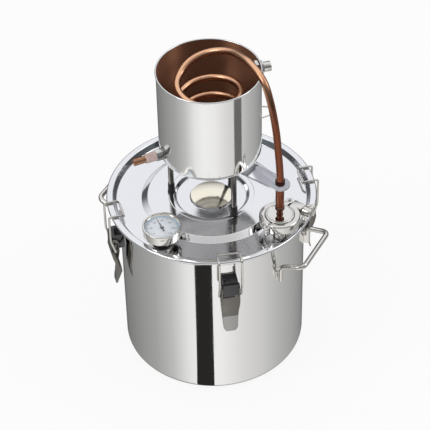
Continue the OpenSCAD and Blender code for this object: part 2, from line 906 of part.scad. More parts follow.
module vapour_cap() {
    bore = spigot_r + fit;
    color("silver") on_pipe() spun([
        [bore, cap_base_z],
        [flange_edge_r, cap_base_z],
        [flange_edge_r, cap_base_z + flange_t],
        [plateau_r, cap_base_z + flange_t + bevel_h],
        [plateau_r, cap_z - plateau_h / 6],
        [plateau_r - plateau_h / 6, cap_z],
        [bore, cap_z]
    ]);
}

// Reducer: a narrow neck soldered into the cap, and a socket for the riser
module riser_collar() {
    bore = spigot_r - tube_t;
    socket_z = cap_z + spigot_h;
    color("saddlebrown") on_pipe() spun([
        [bore, cap_base_z],
        [spigot_r, cap_base_z],
        [spigot_r, socket_z - collar_floor],
        [riser_r + collar_t, socket_z],
        [riser_r + collar_t, socket_z + collar_h],
        [riser_r + fit, socket_z + collar_h],
        [riser_r + fit, riser_foot_z],
        [bore, riser_foot_z]
    ]);
}

module vapour_riser() {
    color("peru") on_pipe() ring(riser_r - tube_t, riser_r, riser_foot_z, bucket_z + coupling_l / 2);
}

clamp_lip_r = plateau_r + 2 * seat;
clamp_groove_r = flange_edge_r + seat;
groove_half = seal_t / 2 + flange_t + seat;
lip_half = groove_half + (clamp_groove_r - clamp_lip_r) * bevel_h / bevel_run;
clamp_half_h = clamp_h / 2;
bolt_pin_x = clamp_r + ear_out;
hinge_x = -(clamp_r + knuckle_r + seat);
bolt_r = bolt_d / 2;
split_half = clamp_split / 2;

module on_clamp() {
    on_pipe(clamp_mid) at_azimuth(clamp_az) children();
}

module clamp_ring() {
    spun([
        [clamp_lip_r, -clamp_half_h],
        [clamp_r - clamp_edge, -clamp_half_h],
        [clamp_r, clamp_edge - clamp_half_h],
        [clamp_r, clamp_half_h - clamp_edge],
        [clamp_r - clamp_edge, clamp_half_h],
        [clamp_lip_r, clamp_half_h],
        [clamp_lip_r, lip_half],
        [clamp_groove_r, groove_half],
        [clamp_groove_r, -groove_half],
        [clamp_lip_r, -lip_half]
    ]);
}

// One half of the ring: side 1 lies towards the boiler's axis, side -1 away from it
module clamp_ring_half(side) {
    difference() {
        clamp_ring();
        translate([-clamp_d, side > 0 ? split_half - 2 * clamp_d : -split_half, -clamp_h])
            cube([2 * clamp_d, 2 * clamp_d, 2 * clamp_h]);
    }
}

module clamp_room() {
    translate([0, 0, -clamp_h]) cylinder(r = clamp_groove_r, h = 2 * clamp_h);
}

module clamp_half_inner() {
    lug_x = clamp_groove_r + ear_out / 4;
    color("lightgray") on_clamp() difference() {
        union() {
            clamp_ring_half(1);
            difference() {
                union() {
                    translate([lug_x, split_half, -clamp_half_h])
                        cube([bolt_pin_x - lug_x, bolt_pin_y + ear_r - split_half, clamp_h]);
                    translate([bolt_pin_x, bolt_pin_y, -clamp_half_h]) cylinder(r = ear_r, h = clamp_h);
                }
                translate([0, 0, -eye_h / 2 - seat]) ring(clamp_r - over, 2 * clamp_d, 0, eye_h + 2 * seat);
                clamp_room();
            }
            difference() {
                union() {
                    translate([hinge_x, 0, -knuckle_half])
                        cube([-clamp_groove_r - hinge_x - over, knuckle_r, 2 * knuckle_half]);
                    translate([hinge_x, 0, -knuckle_half]) cylinder(r = knuckle_r, h = 2 * knuckle_half);
                }
                clamp_room();
            }
        }
        translate([bolt_pin_x, bolt_pin_y, -eye_h / 2 - seat]) cylinder(r = eye_r + seat, h = eye_h + 2 * seat);
        translate([bolt_pin_x, bolt_pin_y, -clamp_h]) cylinder(r = bolt_pin_d / 2 + fit, h = 2 * clamp_h);
        translate([hinge_x, 0, -clamp_h]) cylinder(r = hinge_pin_d / 2 + fit, h = 2 * clamp_h);
    }
}

module clamp_half_outer() {
    lug_x = clamp_groove_r + ear_out / 4;
    face = nut_face - seat;
    color("lightgray") on_clamp() difference() {
        union() {
            clamp_ring_half(-1);
            for (side = [-1, 1]) difference() {
                intersection() {
                    translate([lug_x, -nut_face, side > 0 ? bolt_r + slide : -clamp_half_h])
                        cube([bolt_pin_x + ear_r - lug_x, nut_face - split_half, clamp_half_h - bolt_r - slide]);
                    translate([bolt_pin_x, bolt_pin_y, -clamp_h]) cylinder(r = face, h = 2 * clamp_h);
                }
                clamp_room();
            }
            for (side = [-1, 1]) difference() {
                union() {
                    translate([hinge_x, -knuckle_r, side > 0 ? knuckle_half + seat : -clamp_half_h])
                        cube([-clamp_groove_r - hinge_x - over, knuckle_r, clamp_half_h - knuckle_half - seat]);
                    translate([hinge_x, 0, side > 0 ? knuckle_half + seat : -clamp_half_h])
                        cylinder(r = knuckle_r, h = clamp_half_h - knuckle_half - seat);
                }
                clamp_room();
            }
        }
        translate([hinge_x, 0, -clamp_h]) cylinder(r = hinge_pin_d / 2 + fit, h = 2 * clamp_h);
    }
}

module clamp_hinge_pin() {
    color("dimgray") on_clamp() translate([hinge_x, 0, -clamp_half_h - clamp_edge])
        cylinder(r = hinge_pin_d / 2, h = clamp_h + 2 * clamp_edge, $fn = 48);
}

module clamp_bolt_pin() {
    color("dimgray") on_clamp() translate([bolt_pin_x, bolt_pin_y, -clamp_half_h - clamp_edge])
        cylinder(r = bolt_pin_d / 2, h = clamp_h + 2 * clamp_edge, $fn = 48);
}

module on_bolt() {
    on_clamp() translate([bolt_pin_x, bolt_pin_y, 0]) rotate([90, 0, 0]) children();
}

module clamp_bolt() {
    color("gray") difference() {
        union() {
            on_bolt() cylinder(r = bolt_r, h = bolt_len);
            on_clamp() translate([bolt_pin_x, bolt_pin_y, -eye_h / 2]) cylinder(r = eye_r, h = eye_h);
        }
        on_clamp() translate([bolt_pin_x, bolt_pin_y, -eye_h]) cylinder(r = bolt_pin_d / 2 + fit, h = 2 * eye_h);
    }
}

// Outline of a wing: out in shares of half the span, along in shares of the nut's length
wing_shares = [[0.4, 0.1], [0.7, 0.15], [1, 0.55], [1, 0.85], [0.86, 1], [0.66, 0.95], [0.52, 0.7], [0.4, 0.62]];

module clamp_wing_nut() {
    color("silver") on_bolt() translate([0, 0, nut_face]) rotate([0, 0, nut_turn]) difference() {
        union() {
            cylinder(r1 = nut_d / 2, r2 = nut_d * 0.42, h = nut_len);
            for (side = [0, 180]) rotate([90, 0, side]) linear_extrude(height = wing_t, center = true)
                polygon([for (s = wing_shares) [s[0] * wing_span / 2, s[1] * nut_len]]);
        }
        translate([0, 0, -over]) cylinder(r = bolt_r + fit, h = nut_len + 2 * over);
    }
}

// Condenser

module condenser_bucket() {
    wall = [
        [0, bucket_z],
        [bucket_r, bucket_z],
        [bucket_r, bucket_top - bead_d],
        [bucket_r + bead_d / 2, bucket_top - bead_d],
        [bucket_r + bead_d / 2, bucket_top],
        [bucket_inner_r, bucket_top],
        [bucket_inner_r, bucket_z + bucket_t],
        [0, bucket_z + bucket_t]
    ];
    bends = [0, bucket_fillet, small_bend, bead_d * 0.4, bead_d * 0.4, bead_d * 0.4, bucket_fillet - bucket_t, 0];
    color("silver") difference() {
        spun(rounded(wall, bends));
        radial(outlet_az, outlet_z, bucket_inner_r - 2 * over)
            cylinder(r = fitting_d / 2 + slide, h = bucket_t + 4 * over);
        for (w = [[water_out_az, water_out_z], [water_in_az, water_in_z]])
            radial(w[0], w[1], bucket_inner_r - 2 * over)
                cylinder(r = water_thread_d / 2 + slide, h = bucket_t + 4 * over);
    }
}

module condenser_leg(n) {
    color("gainsboro") translate(polar(leg_out, leg_az[n]))
        ring(leg_d / 2 - leg_t, leg_d / 2, ledge_z + tip_floor, bucket_z);
}

module condenser_leg_1() {
    condenser_leg(0);
}

module condenser_leg_2() {
    condenser_leg(1);
}

module condenser_leg_3() {
    condenser_leg(2);
}

module leg_tips() {
    color("black") for (az = leg_az) translate(polar(leg_out, az, ledge_z)) difference() {
        cylinder(r = tip_d / 2, h = tip_h);
        translate([0, 0, tip_floor]) cylinder(r = leg_d / 2 + fit, h = tip_h);
    }
}

module pipe_strap() {
    half = strap_w / 2;
    inner = leg_out - half;
    bar = [[-half, -inner], [-half, -pipe_out - half], [half, -pipe_out - half], [half, -inner]];
    end_r = half - small_bend;
    color("silver") difference() {
        at_azimuth(pipe_az) translate([0, 0, bucket_z - strap_t]) linear_extrude(height = strap_t)
            polygon(rounded(bar, [0, end_r, end_r, 0]));
        on_pipe(bucket_z - strap_t - over) cylinder(r = riser_r + fit, h = strap_t + 2 * over);
        for (az = leg_az) translate(polar(leg_out, az, bucket_z - strap_t - over))
            cylinder(r = leg_d / 2 + seat, h = strap_t + 2 * over);
    }
}

module pipe_coupling() {
    middle = bucket_z + coupling_l / 2;
    outer = riser_r + coupling_t;
    color("saddlebrown") on_pipe() {
        spun([
            [riser_r + fit, bucket_z],
            [outer, bucket_z],
            [outer, bucket_z + coupling_l],
            [tube_r + slide, bucket_z + coupling_l],
            [tube_r + slide, middle],
            [riser_r + fit, middle]
        ]);
    }
}

// Copper coil: the lead climbs from the strap, crosses the rim along a tangent and winds down

lead_run = sqrt(pow(pipe_out, 2) - pow(coil_r, 2));
lead_end_az = pipe_az + acos(coil_r / pipe_out);
lead_dir = unit(polar(coil_r, lead_end_az) - polar(pipe_out, pipe_az));
coil_start_z = bucket_z + coupling_l / 2;
crest_z = bucket_top + crest_rise;
first_az = 270;
first_z = bucket_top - coil_drop;
swing_len = coil_r * (first_az - lead_end_az) * PI / 180;
exit_az = outlet_az - asin(exit_bend / (coil_r + exit_bend));
exit_turn = 90 - (outlet_az - exit_az);
wound = 360 * coil_turns + exit_az - first_az;
coil_fall = first_z - outlet_z - exit_fall;
coil_steps = ceil(wound / 15);
coil_end_r = bucket_r + flat_out + outlet_nut_l + sleeve_l / 2;
coil_sides = 8;

// Guide places of the lead: run in shares of its straight run, rise in shares of its climb
lead_shares = [[0, 0], [0, 0.06], [0.02, 0.19], [0.055, 0.35], [0.09, 0.5], [0.15, 0.65], [0.23, 0.79],
    [0.34, 0.915], [0.48, 0.97], [0.66, 0.99], [0.84, 0.978]];
// Guide places of its fall to the first turn: way round, and height left in shares of its fall
swing_shares = [[0.334, 0.558], [0.634, 0.3], [0.833, 0.065]];

// A place on the unrolled plan: straight along the tangent, then round the coil's cylinder
function unrolled(s, z) =
    s < lead_run ? polar(pipe_out, pipe_az, z) + s * lead_dir :
    polar(coil_r, lead_end_az + (s - lead_run) / coil_r * 180 / PI, z);

function lead_guides() = concat(
    [for (s = lead_shares) [s[0] * lead_run, coil_start_z + s[1] * (crest_z - coil_start_z)]],
    [for (s = swing_shares) [lead_run + s[0] * swing_len, first_z + s[1] * (crest_z - first_z)]],
    [for (k = [0, 1]) [lead_run + swing_len * (1 + k / 6), first_z - k * coil_fall / wound * swing_len / 6 / coil_r]]
);

function coil_path() = concat(
    [for (g = smooth(lead_guides(), 4)) unrolled(g[0], g[1])],
    [for (k = [0 : coil_steps - 1]) polar(coil_r, first_az + wound * k / coil_steps, first_z - coil_fall * k / coil_steps)],
    [for (k = [0 : 6]) let (s = k / 6) polar(coil_r + exit_bend, exit_az) +
        polar(exit_bend, exit_az + 180 - s * exit_turn, outlet_z + exit_fall * (1 - s) * (1 - s) * (1 + 2 * s))],
    [for (r = [coil_end_r - 2 * tube_d, coil_end_r]) polar(r, outlet_az, outlet_z)]
);

function least_gap(p, skip) =
    min([for (i = [0 : len(p) - 1 - skip], j = [i + skip : len(p) - 1]) norm(p[i] - p[j])]) - tube_d;

module condenser_coil() {
    path = coil_path();
    echo(least_gap_of_the_coil_to_itself = least_gap(path, 14), rings = len(path));
    color("peru") swept(path, tube_r, tube_r - tube_t, lead_dir, coil_sides);
}

// Outlet and water fittings

nut_out_r = bucket_r + flat_out;

function locknut_r(af) = sqrt(pow(bucket_inner_r, 2) - pow(af / 2 / cos(30), 2)) - slide;

module radial_ring(az, z, r0, r1, from, to) {
    radial(az, z, from) ring(r0, r1, 0, to - from);
}

// Wall fitting with a hex body; a stub, where it has one, starts a neck beyond the body
module fitting(az, z, thread, bore, af, nut_l, stub, tail_l) {
    inside = locknut_r(af + 2 * bucket_t) - locknut_l - thread_end;
    nut_end = nut_out_r + nut_l;
    end = nut_end + tail_l;
    radial(az, z, inside) difference() {
        union() {
            cylinder(r = thread / 2, h = nut_end + (tail_l > 0 ? stub_neck : -nut_l / 2) - inside);
            translate([0, 0, nut_out_r - inside]) hex(af, nut_l);
            if (tail_l > 0)
                translate([0, 0, nut_end + stub_neck - inside]) cylinder(r = stub / 2, h = tail_l - stub_neck);
        }
        translate([0, 0, -over]) cylinder(r = bore, h = end - inside + 2 * over);
    }
}

module wall_washer(az, z, r0, r1) {
    difference() {
        radial_ring(az, z, r0, r1, bucket_inner_r - bucket_t, nut_out_r);
        translate([0, 0, z - 2 * r1]) cylinder(r = bucket_r + seat / 2, h = 4 * r1, $fn = fine);
    }
}

module wall_locknut(az, z, thread, af) {
    far = locknut_r(af);
    radial(az, z, far - locknut_l) difference() {
        hex(af, locknut_l);
        translate([0, 0, -over]) cylinder(r = thread / 2 + fit, h = locknut_l + 2 * over);
    }
}

module outlet_fitting() {
    color("silver") fitting(outlet_az, outlet_z, fitting_d, tube_r + slide, nut_af, outlet_nut_l, fitting_d, 0);
}

module outlet_washer() {
    color("dimgray") wall_washer(outlet_az, outlet_z, fitting_d / 2 + slide, nut_af / 2 + bucket_t);
}

module outlet_locknut() {
    color("silver") wall_locknut(outlet_az, outlet_z, fitting_d, nut_af + 2 * bucket_t);
}

module outlet_sleeve() {
    near = nut_out_r + outlet_nut_l;
    color("rosybrown") radial_ring(outlet_az, outlet_z, tube_r + fit, tube_r + sleeve_t, near, near + sleeve_l);
}

module outlet_spout() {
    mouth = nut_out_r + outlet_nut_l + sleeve_l + stub_neck;
    end = coil_end_r + sleeve_l / 2 + spout_l;
    color("peru") radial(outlet_az, outlet_z, coil_end_r) difference() {
        union() {
            cylinder(r = tube_r - stub_step, h = end - coil_end_r);
            translate([0, 0, mouth - coil_end_r]) cylinder(r = tube_r, h = end - mouth);
        }
        translate([0, 0, -over]) cylinder(r = tube_r - tube_t, h = end - coil_end_r + 2 * over);
    }
}

water_af = nipple_d + 2.4;

module water_outlet() {
    color("silver") fitting(water_out_az, water_out_z, water_thread_d, nipple_d / 2 - nipple_t, water_af,
        water_nut_l, nipple_d, nipple_l);
}

module water_inlet() {
    color("silver") fitting(water_in_az, water_in_z, water_thread_d, nipple_d / 2 - nipple_t, water_af,
        water_nut_l, nipple_d, nipple_l);
}

module water_washers() {
    color("black") {
        wall_washer(water_out_az, water_out_z, water_thread_d / 2 + slide, water_af / 2 + bucket_t);
        wall_washer(water_in_az, water_in_z, water_thread_d / 2 + slide, water_af / 2 + bucket_t);
    }
}

module water_locknuts() {
    color("silver") {
        wall_locknut(water_out_az, water_out_z, water_thread_d, water_af + 2 * bucket_t);
        wall_locknut(water_in_az, water_in_z, water_thread_d, water_af + 2 * bucket_t);
    }
}

module hose_hook() {
    z = bucket_z + hook_rise;
    out = bucket_r + hook_out;
    path = [
        [-hook_w / 2, hook_d - bucket_inner_r, z],
        [-hook_grip / 2, -out, z],
        [hook_grip / 2, -out, z],
        [hook_w / 2, hook_d - bucket_inner_r, z]
    ];
    color("silver") difference() {
        at_azimuth(hook_az) bent_rod(path, [0, hook_bend, hook_bend, 0], hook_d / 2, [0, 0, 1], 8, 3);
        translate([0, 0, z - hook_d]) cylinder(r = bucket_r + seat / 2, h = 2 * hook_d, $fn = fine);
    }
}

boiler_pot();
lid();
lid_gasket();
handle_right();
handle_left();
latch_bracket_1();
latch_bracket_2();
latch_bracket_3();
latch_bracket_4();
latch_pins();
latch_lever_1();
latch_lever_2();
latch_lever_3();
latch_lever_4();
latch_bail_1();
latch_bail_2();
latch_bail_3();
latch_bail_4();
thermometer_case();
thermometer_bezel();
thermometer_lens();
thermometer_dial();
thermometer_needle();
thermometer_spindle();
thermometer_coil();
thermometer_probe();
thermometer_nut();
thermometer_washer();
thermometer_locknut();
lid_ferrule();
ferrule_gasket();
vapour_cap();
riser_collar();
vapour_riser();
clamp_half_inner();
clamp_half_outer();
clamp_hinge_pin();
clamp_bolt_pin();
clamp_bolt();
clamp_wing_nut();
condenser_bucket();
condenser_leg_1();
condenser_leg_2();
condenser_leg_3();
leg_tips();
pipe_strap();
pipe_coupling();
condenser_coil();
outlet_fitting();
outlet_washer();
outlet_locknut();
outlet_sleeve();
outlet_spout();
water_outlet();
water_inlet();
water_washers();
water_locknuts();
hose_hook();
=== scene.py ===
"""The copper still, dressed: spun steel, drawn copper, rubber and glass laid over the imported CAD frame."""

import logging
import math
from dataclasses import dataclass
from enum import Enum

import bpy
from mathutils import Matrix, Vector


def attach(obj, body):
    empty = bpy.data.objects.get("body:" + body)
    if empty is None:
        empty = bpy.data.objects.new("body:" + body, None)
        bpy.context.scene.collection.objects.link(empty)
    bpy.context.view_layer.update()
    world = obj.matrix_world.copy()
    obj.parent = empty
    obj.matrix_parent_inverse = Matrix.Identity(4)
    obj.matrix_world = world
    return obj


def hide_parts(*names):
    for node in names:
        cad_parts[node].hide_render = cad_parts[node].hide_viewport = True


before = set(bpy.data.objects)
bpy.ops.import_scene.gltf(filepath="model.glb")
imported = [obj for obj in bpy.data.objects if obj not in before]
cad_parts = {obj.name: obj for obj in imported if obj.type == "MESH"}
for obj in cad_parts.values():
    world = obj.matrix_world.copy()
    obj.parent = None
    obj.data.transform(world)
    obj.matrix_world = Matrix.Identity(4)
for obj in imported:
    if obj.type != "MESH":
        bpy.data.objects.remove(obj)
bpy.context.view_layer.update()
LOG = logging.getLogger("copper_still")
MM = 0.001
Pair = tuple[float, float]
Socket = bpy.types.NodeSocket
# Most of an edge that the rounding at one of its ends may take
EDGE_SHARE = 0.42


# Places and outlines, all in millimetres

def polar(r: float, az: float, z: float = 0.0) -> Vector:
    """Place at a radius and at an azimuth that is measured from the front towards +X."""
    return Vector((r * math.sin(math.radians(az)), -r * math.cos(math.radians(az)), z))


def at(place: Vector | tuple[float, float, float], az: float = 0.0) -> Matrix:
    """Frame at a place, turned by an azimuth, whose -Y points outwards."""
    return Matrix.Translation(Vector(place)) @ Matrix.Rotation(math.radians(az), 4, "Z")


def outward(az: float, z: float, r: float = 0.0) -> Matrix:
    """Frame whose +Z runs along the horizontal line that leaves the axis at an azimuth."""
    return at((0, 0, 0), az) @ Matrix.Translation((0, -r, z)) @ Matrix.Rotation(math.pi / 2, 4, "X")


def rounded(points: list[Pair], radii: list[float], steps: int = 6) -> list[Pair]:
    """Rounds the corners of an outline with arcs.

    Args:
        points: Corners of the outline, closed or open.
        radii: Radius at each corner, 0 for a sharp corner or an open end.
        steps: Number of chords in each arc.

    Returns:
        The outline with its arcs.
    """
    out: list[Pair] = []
    for i, (point, radius) in enumerate(zip(points, radii)):
        if radius <= 0:
            out.append(point)
            continue
        here = Vector(point)
        u = (Vector(points[i - 1]) - here).normalized()
        v = (Vector(points[(i + 1) % len(points)]) - here).normalized()
        half = u.angle(v) / 2
        centre = here + (u + v).normalized() * radius / math.sin(half)
        first = here + u * radius / math.tan(half) - centre
        side = 1 if u.x * v.y - u.y * v.x < 0 else -1
        sweep = side * (math.pi - 2 * half)
        start = math.atan2(first.y, first.x)
        for k in range(steps + 1):
            a = start + sweep * k / steps
            out.append((centre.x + radius * math.cos(a), centre.y + radius * math.sin(a)))
    return out


def eased(points: list[Pair], radius: float, steps: int = 3) -> list[Pair]:
    """Rounds every corner off the axis by one radius, less where an edge is short.

    Args:
        points: Corners of the outline, closed.
        radius: Radius of the corners.
        steps: Number of chords in each arc.

    Returns:
        The outline with its arcs.
    """
    radii = []
    for i, point in enumerate(points):
        before = (Vector(point) - Vector(points[i - 1])).length
        after = (Vector(point) - Vector(points[(i + 1) % len(points)])).length
        radii.append(0.0 if point[0] <= 1e-6 else min(radius, EDGE_SHARE * before, EDGE_SHARE * after))
    return rounded(points, radii, steps)


def turn_at(points: list[Pair], i: int) -> int:
    """1 where an open line turns left at a corner, -1 where it turns right."""
    a, b = Vector(points[i]) - Vector(points[i - 1]), Vector(points[i + 1]) - Vector(points[i])
    return 1 if a.x * b.y - a.y * b.x > 0 else -1


def other_face(points: list[Pair], radii: list[float], t: float, steps: int = 6) -> list[Pair]:
    """The second face of a bent sheet, whose bends keep their centres.

    Args:
        points: Open line of the first face.
        radii: Its bend radii.
        t: Distance to the left of the line.
        steps: Number of chords in each bend.

    Returns:
        The moved line with its arcs.
    """
    moved: list[Pair] = []
    bends = [0.0] * len(points)
    for i, point in enumerate(points):
        sides = []
        for a, b in ((i - 1, i), (i, i + 1)):
            if a >= 0 and b < len(points):
                d = (Vector(points[b]) - Vector(points[a])).normalized()
                sides.append(Vector((-d.y, d.x)))
        normal = sides[0]
        if len(sides) == 2:
            normal = (sides[0] + sides[1]) / (1 + sides[0].dot(sides[1]))
        moved.append(tuple(Vector(point) + t * normal))
        if radii[i] > 0:
            bends[i] = max(0.0, radii[i] - turn_at(points, i) * t)
    return rounded(moved, bends, steps)


def bent(points: list[tuple[float, float, float]], bends: list[float], steps: int = 8) -> list[Vector]:
    """Path of a bent rod with an arc at each bend.

    Args:
        points: Corners of the path.
        bends: Bend radius at each corner, 0 at the ends.
        steps: Number of chords in each bend.

    Returns:
        The points along the rod.
    """
    path: list[Vector] = []
    places = [Vector(p) for p in points]
    for i, (here, bend) in enumerate(zip(places, bends)):
        if bend == 0:
            path.append(here)
            continue
        u, v = (here - places[i - 1]).normalized(), (places[i + 1] - here).normalized()
        angle = u.angle(v)
        normal = (v - u * u.dot(v)).normalized()
        for k in range(steps + 1):
            s = angle * k / steps
            path.append(here - u * bend * math.tan(angle / 2) + normal * bend * (1 - math.cos(s))
                        + u * bend * math.sin(s))
    return path


def smooth_line(points: list[Pair], steps: int) -> list[Pair]:
    """Draws a smooth line through guide points.

    Args:
        points: Guide points, of which the last only gives the direction.
        steps: Number of points from one guide point to the next.

    Returns:
        The line's points.
    """
    out: list[Pair] = []
    for i in range(len(points) - 2):
        a, b = Vector(points[max(i - 1, 0)]), Vector(points[i])
        c, d = Vector(points[i + 1]), Vector(points[i + 2])
        for k in range(steps):
            t = k / steps
            out.append(tuple((2 * b + (c - a) * t + (2 * a - 5 * b + 4 * c - d) * t * t
                              + (3 * b - a - 3 * c + d) * t * t * t) / 2))
    return out


# Modelling

def alone(piece: bpy.types.Object) -> None:
    """Makes a piece the only selected one.

    Args:
        piece: The piece.
    """
    bpy.ops.object.select_all(action="DESELECT")
    piece.select_set(True)
    bpy.context.view_layer.objects.active = piece


def settled(piece: bpy.types.Object, name: str, where: Matrix, angle: float = 35.0) -> bpy.types.Object:
    """Names a piece, puts its place into its mesh and shades it smooth between its edges.

    Args:
        piece: The piece.
        name: Its name.
        where: Frame in which it was made.
        angle: Least angle of an edge that stays sharp, in degrees.

    Returns:
        The piece.
    """
    alone(piece)
    piece.name = piece.data.name = name
    placed = where.copy()
    placed.translation *= MM
    piece.matrix_world = placed @ piece.matrix_world
    bpy.ops.object.transform_apply(location=True, rotation=True, scale=True)
    bpy.ops.object.shade_smooth_by_angle(angle=math.radians(angle))
    return piece


def applied(piece: bpy.types.Object, kind: str, **settings: object) -> bpy.types.Object:
    """Adds a modifier and applies it.

    Args:
        piece: The piece.
        kind: Blender's type of the modifier.
        settings: Settings of the modifier.

    Returns:
        The piece.
    """
    alone(piece)
    modifier = piece.modifiers.new(kind.title(), kind)
    for key, value in settings.items():
        setattr(modifier, key, value)
    bpy.ops.object.modifier_apply(modifier=modifier.name)
    return piece


def softened(piece: bpy.types.Object, width: float, segments: int = 2,
             angle: float = 35.0) -> bpy.types.Object:
    """Rounds the sharp edges of a piece.

    Args:
        piece: The piece.
        width: Width of the rounding in millimetres.
        segments: Number of strips across it.
        angle: Least angle of an edge that is rounded, in degrees.

    Returns:
        The piece.
    """
    applied(piece, "BEVEL", width=width * MM, segments=segments, limit_method="ANGLE",
            angle_limit=math.radians(angle), use_clamp_overlap=True)
    bpy.ops.object.shade_smooth_by_angle(angle=math.radians(angle))
    return piece


def outline_mesh(outline: list[Pair], upright: bool, filled: bool) -> bpy.types.Object:
    """Adds a circle primitive and moves its vertices onto an outline.

    Args:
        outline: Points of the outline.
        upright: True if the second coordinate is the height, False if the outline lies flat.
        filled: True if the outline gets a face.

    Returns:
        The piece.
    """
    bpy.ops.object.select_all(action="DESELECT")
    fill = "NGON" if filled else "NOTHING"
    bpy.ops.mesh.primitive_circle_add(vertices=len(outline), fill_type=fill)
    piece = bpy.context.object
    for vertex, (a, b) in zip(piece.data.vertices, outline):
        vertex.co = (a * MM, 0, b * MM) if upright else (a * MM, b * MM, 0)
    return piece


def spun(name: str, outline: list[Pair], where: Matrix = Matrix.Identity(4),
         steps: int = 96) -> bpy.types.Object:
    """Turned piece: a closed outline of radius and height is spun round the local axis.

    Args:
        name: Name of the piece.
        outline: Radius and height of each point, counterclockwise or clockwise.
        where: Frame in which it is spun.
        steps: Number of steps round the axis.

    Returns:
        The piece, closed at its poles.
    """
    piece = outline_mesh(outline, upright=True, filled=False)
    bpy.ops.object.mode_set(mode="EDIT")
    bpy.ops.mesh.select_all(action="SELECT")
    bpy.ops.mesh.spin(steps=steps, angle=2 * math.pi, center=(0, 0, 0), axis=(0, 0, 1))
    bpy.ops.mesh.select_all(action="SELECT")
    bpy.ops.mesh.remove_doubles(threshold=1e-6)
    bpy.ops.mesh.delete_loose(use_verts=True, use_edges=True, use_faces=False)
    bpy.ops.mesh.select_all(action="SELECT")
    bpy.ops.mesh.normals_make_consistent(inside=False)
    bpy.ops.object.mode_set(mode="OBJECT")
    return settled(piece, name, where)


def plate(name: str, outline: list[Pair], t: float, where: Matrix, edge: float) -> bpy.types.Object:
    """Flat piece: a filled outline in the local plane is extruded upwards and its edges are eased.

    Args:
        name: Name of the piece.
        outline: Points of the outline.
        t: Thickness.
        where: Frame in which the outline lies.
        edge: Width of the eased edges, 0 for sharp ones.

    Returns:
        The piece.
    """
    piece = outline_mesh(outline, upright=False, filled=True)
    bpy.ops.object.mode_set(mode="EDIT")
    bpy.ops.mesh.select_all(action="SELECT")
    bpy.ops.mesh.extrude_region_move(TRANSFORM_OT_translate={"value": (0, 0, t * MM)})
    bpy.ops.mesh.select_all(action="SELECT")
    bpy.ops.mesh.normals_make_consistent(inside=False)
    bpy.ops.object.mode_set(mode="OBJECT")
    if edge > 0:
        softened(piece, edge)
    return settled(piece, name, where)


def tube(name: str, path: list[Vector], r: float, where: Matrix = Matrix.Identity(4), sides: int = 16,
         wall: float = 0.0, ease: float = 0.0) -> bpy.types.Object:
    """Rod or pipe that follows a path.

    Args:
        name: Name of the piece.
        path: Points along its middle.
        r: Outer radius.
        where: Frame in which the path is given.
        sides: Number of sides.
        wall: Wall of a pipe with open ends, 0 for a solid rod.
        ease: Rounding of a rod's ends.

    Returns:
        The piece as a mesh.
    """
    bpy.ops.object.select_all(action="DESELECT")
    bpy.ops.curve.primitive_nurbs_path_add()
    piece = bpy.context.object
    curve = piece.data
    curve.splines.clear()
    spline = curve.splines.new("POLY")
    spline.points.add(len(path) - 1)
    for point, place in zip(spline.points, path):
        point.co = (*(Vector(place) * MM), 1)
    curve.dimensions = "3D"
    curve.twist_mode = "MINIMUM"
    curve.bevel_depth = r * MM
    curve.bevel_resolution = sides // 2 - 2
    curve.use_fill_caps = wall == 0
    bpy.ops.object.convert(target="MESH")
    piece = bpy.context.object
    if wall > 0:
        applied(piece, "SOLIDIFY", thickness=wall * MM, offset=-1)
    if ease > 0:
        softened(piece, ease, segments=3, angle=60)
    return settled(piece, name, where, 50)


def from_cad(node: str, name: str) -> bpy.types.Object:
    """Copies a CAD node's mesh, merged, with its flat faces made whole again.

    Args:
        node: Name of the CAD node.
        name: Name of the copy.

    Returns:
        The copy.
    """
    piece = bpy.data.objects.new(name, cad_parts[node].data.copy())
    bpy.context.scene.collection.objects.link(piece)
    alone(piece)
    if piece.data.has_custom_normals:
        bpy.ops.mesh.customdata_custom_splitnormals_clear()
    bpy.ops.object.mode_set(mode="EDIT")
    bpy.ops.mesh.select_all(action="SELECT")
    bpy.ops.mesh.remove_doubles(threshold=2e-6)
    bpy.ops.mesh.dissolve_limited(angle_limit=math.radians(0.6))
    bpy.ops.object.mode_set(mode="OBJECT")
    return piece


def joined(pieces: list[bpy.types.Object], name: str) -> bpy.types.Object:
    """Joins pieces into one.

    Args:
        pieces: The pieces.
        name: Name of the joined piece.

    Returns:
        The joined piece.
    """
    bpy.ops.object.select_all(action="DESELECT")
    for piece in pieces:
        piece.select_set(True)
    bpy.context.view_layer.objects.active = pieces[0]
    bpy.ops.object.join()
    pieces[0].name = pieces[0].data.name = name
    return pieces[0]


# Finishes

def linear(colour: str) -> tuple[float, float, float, float]:
    """Turns an sRGB hex colour into Blender's linear one."""
    parts = [int(colour[i:i + 2], 16) / 255 for i in (1, 3, 5)]
    return (*(c / 12.92 if c <= 0.04045 else ((c + 0.055) / 1.055) ** 2.4 for c in parts), 1.0)


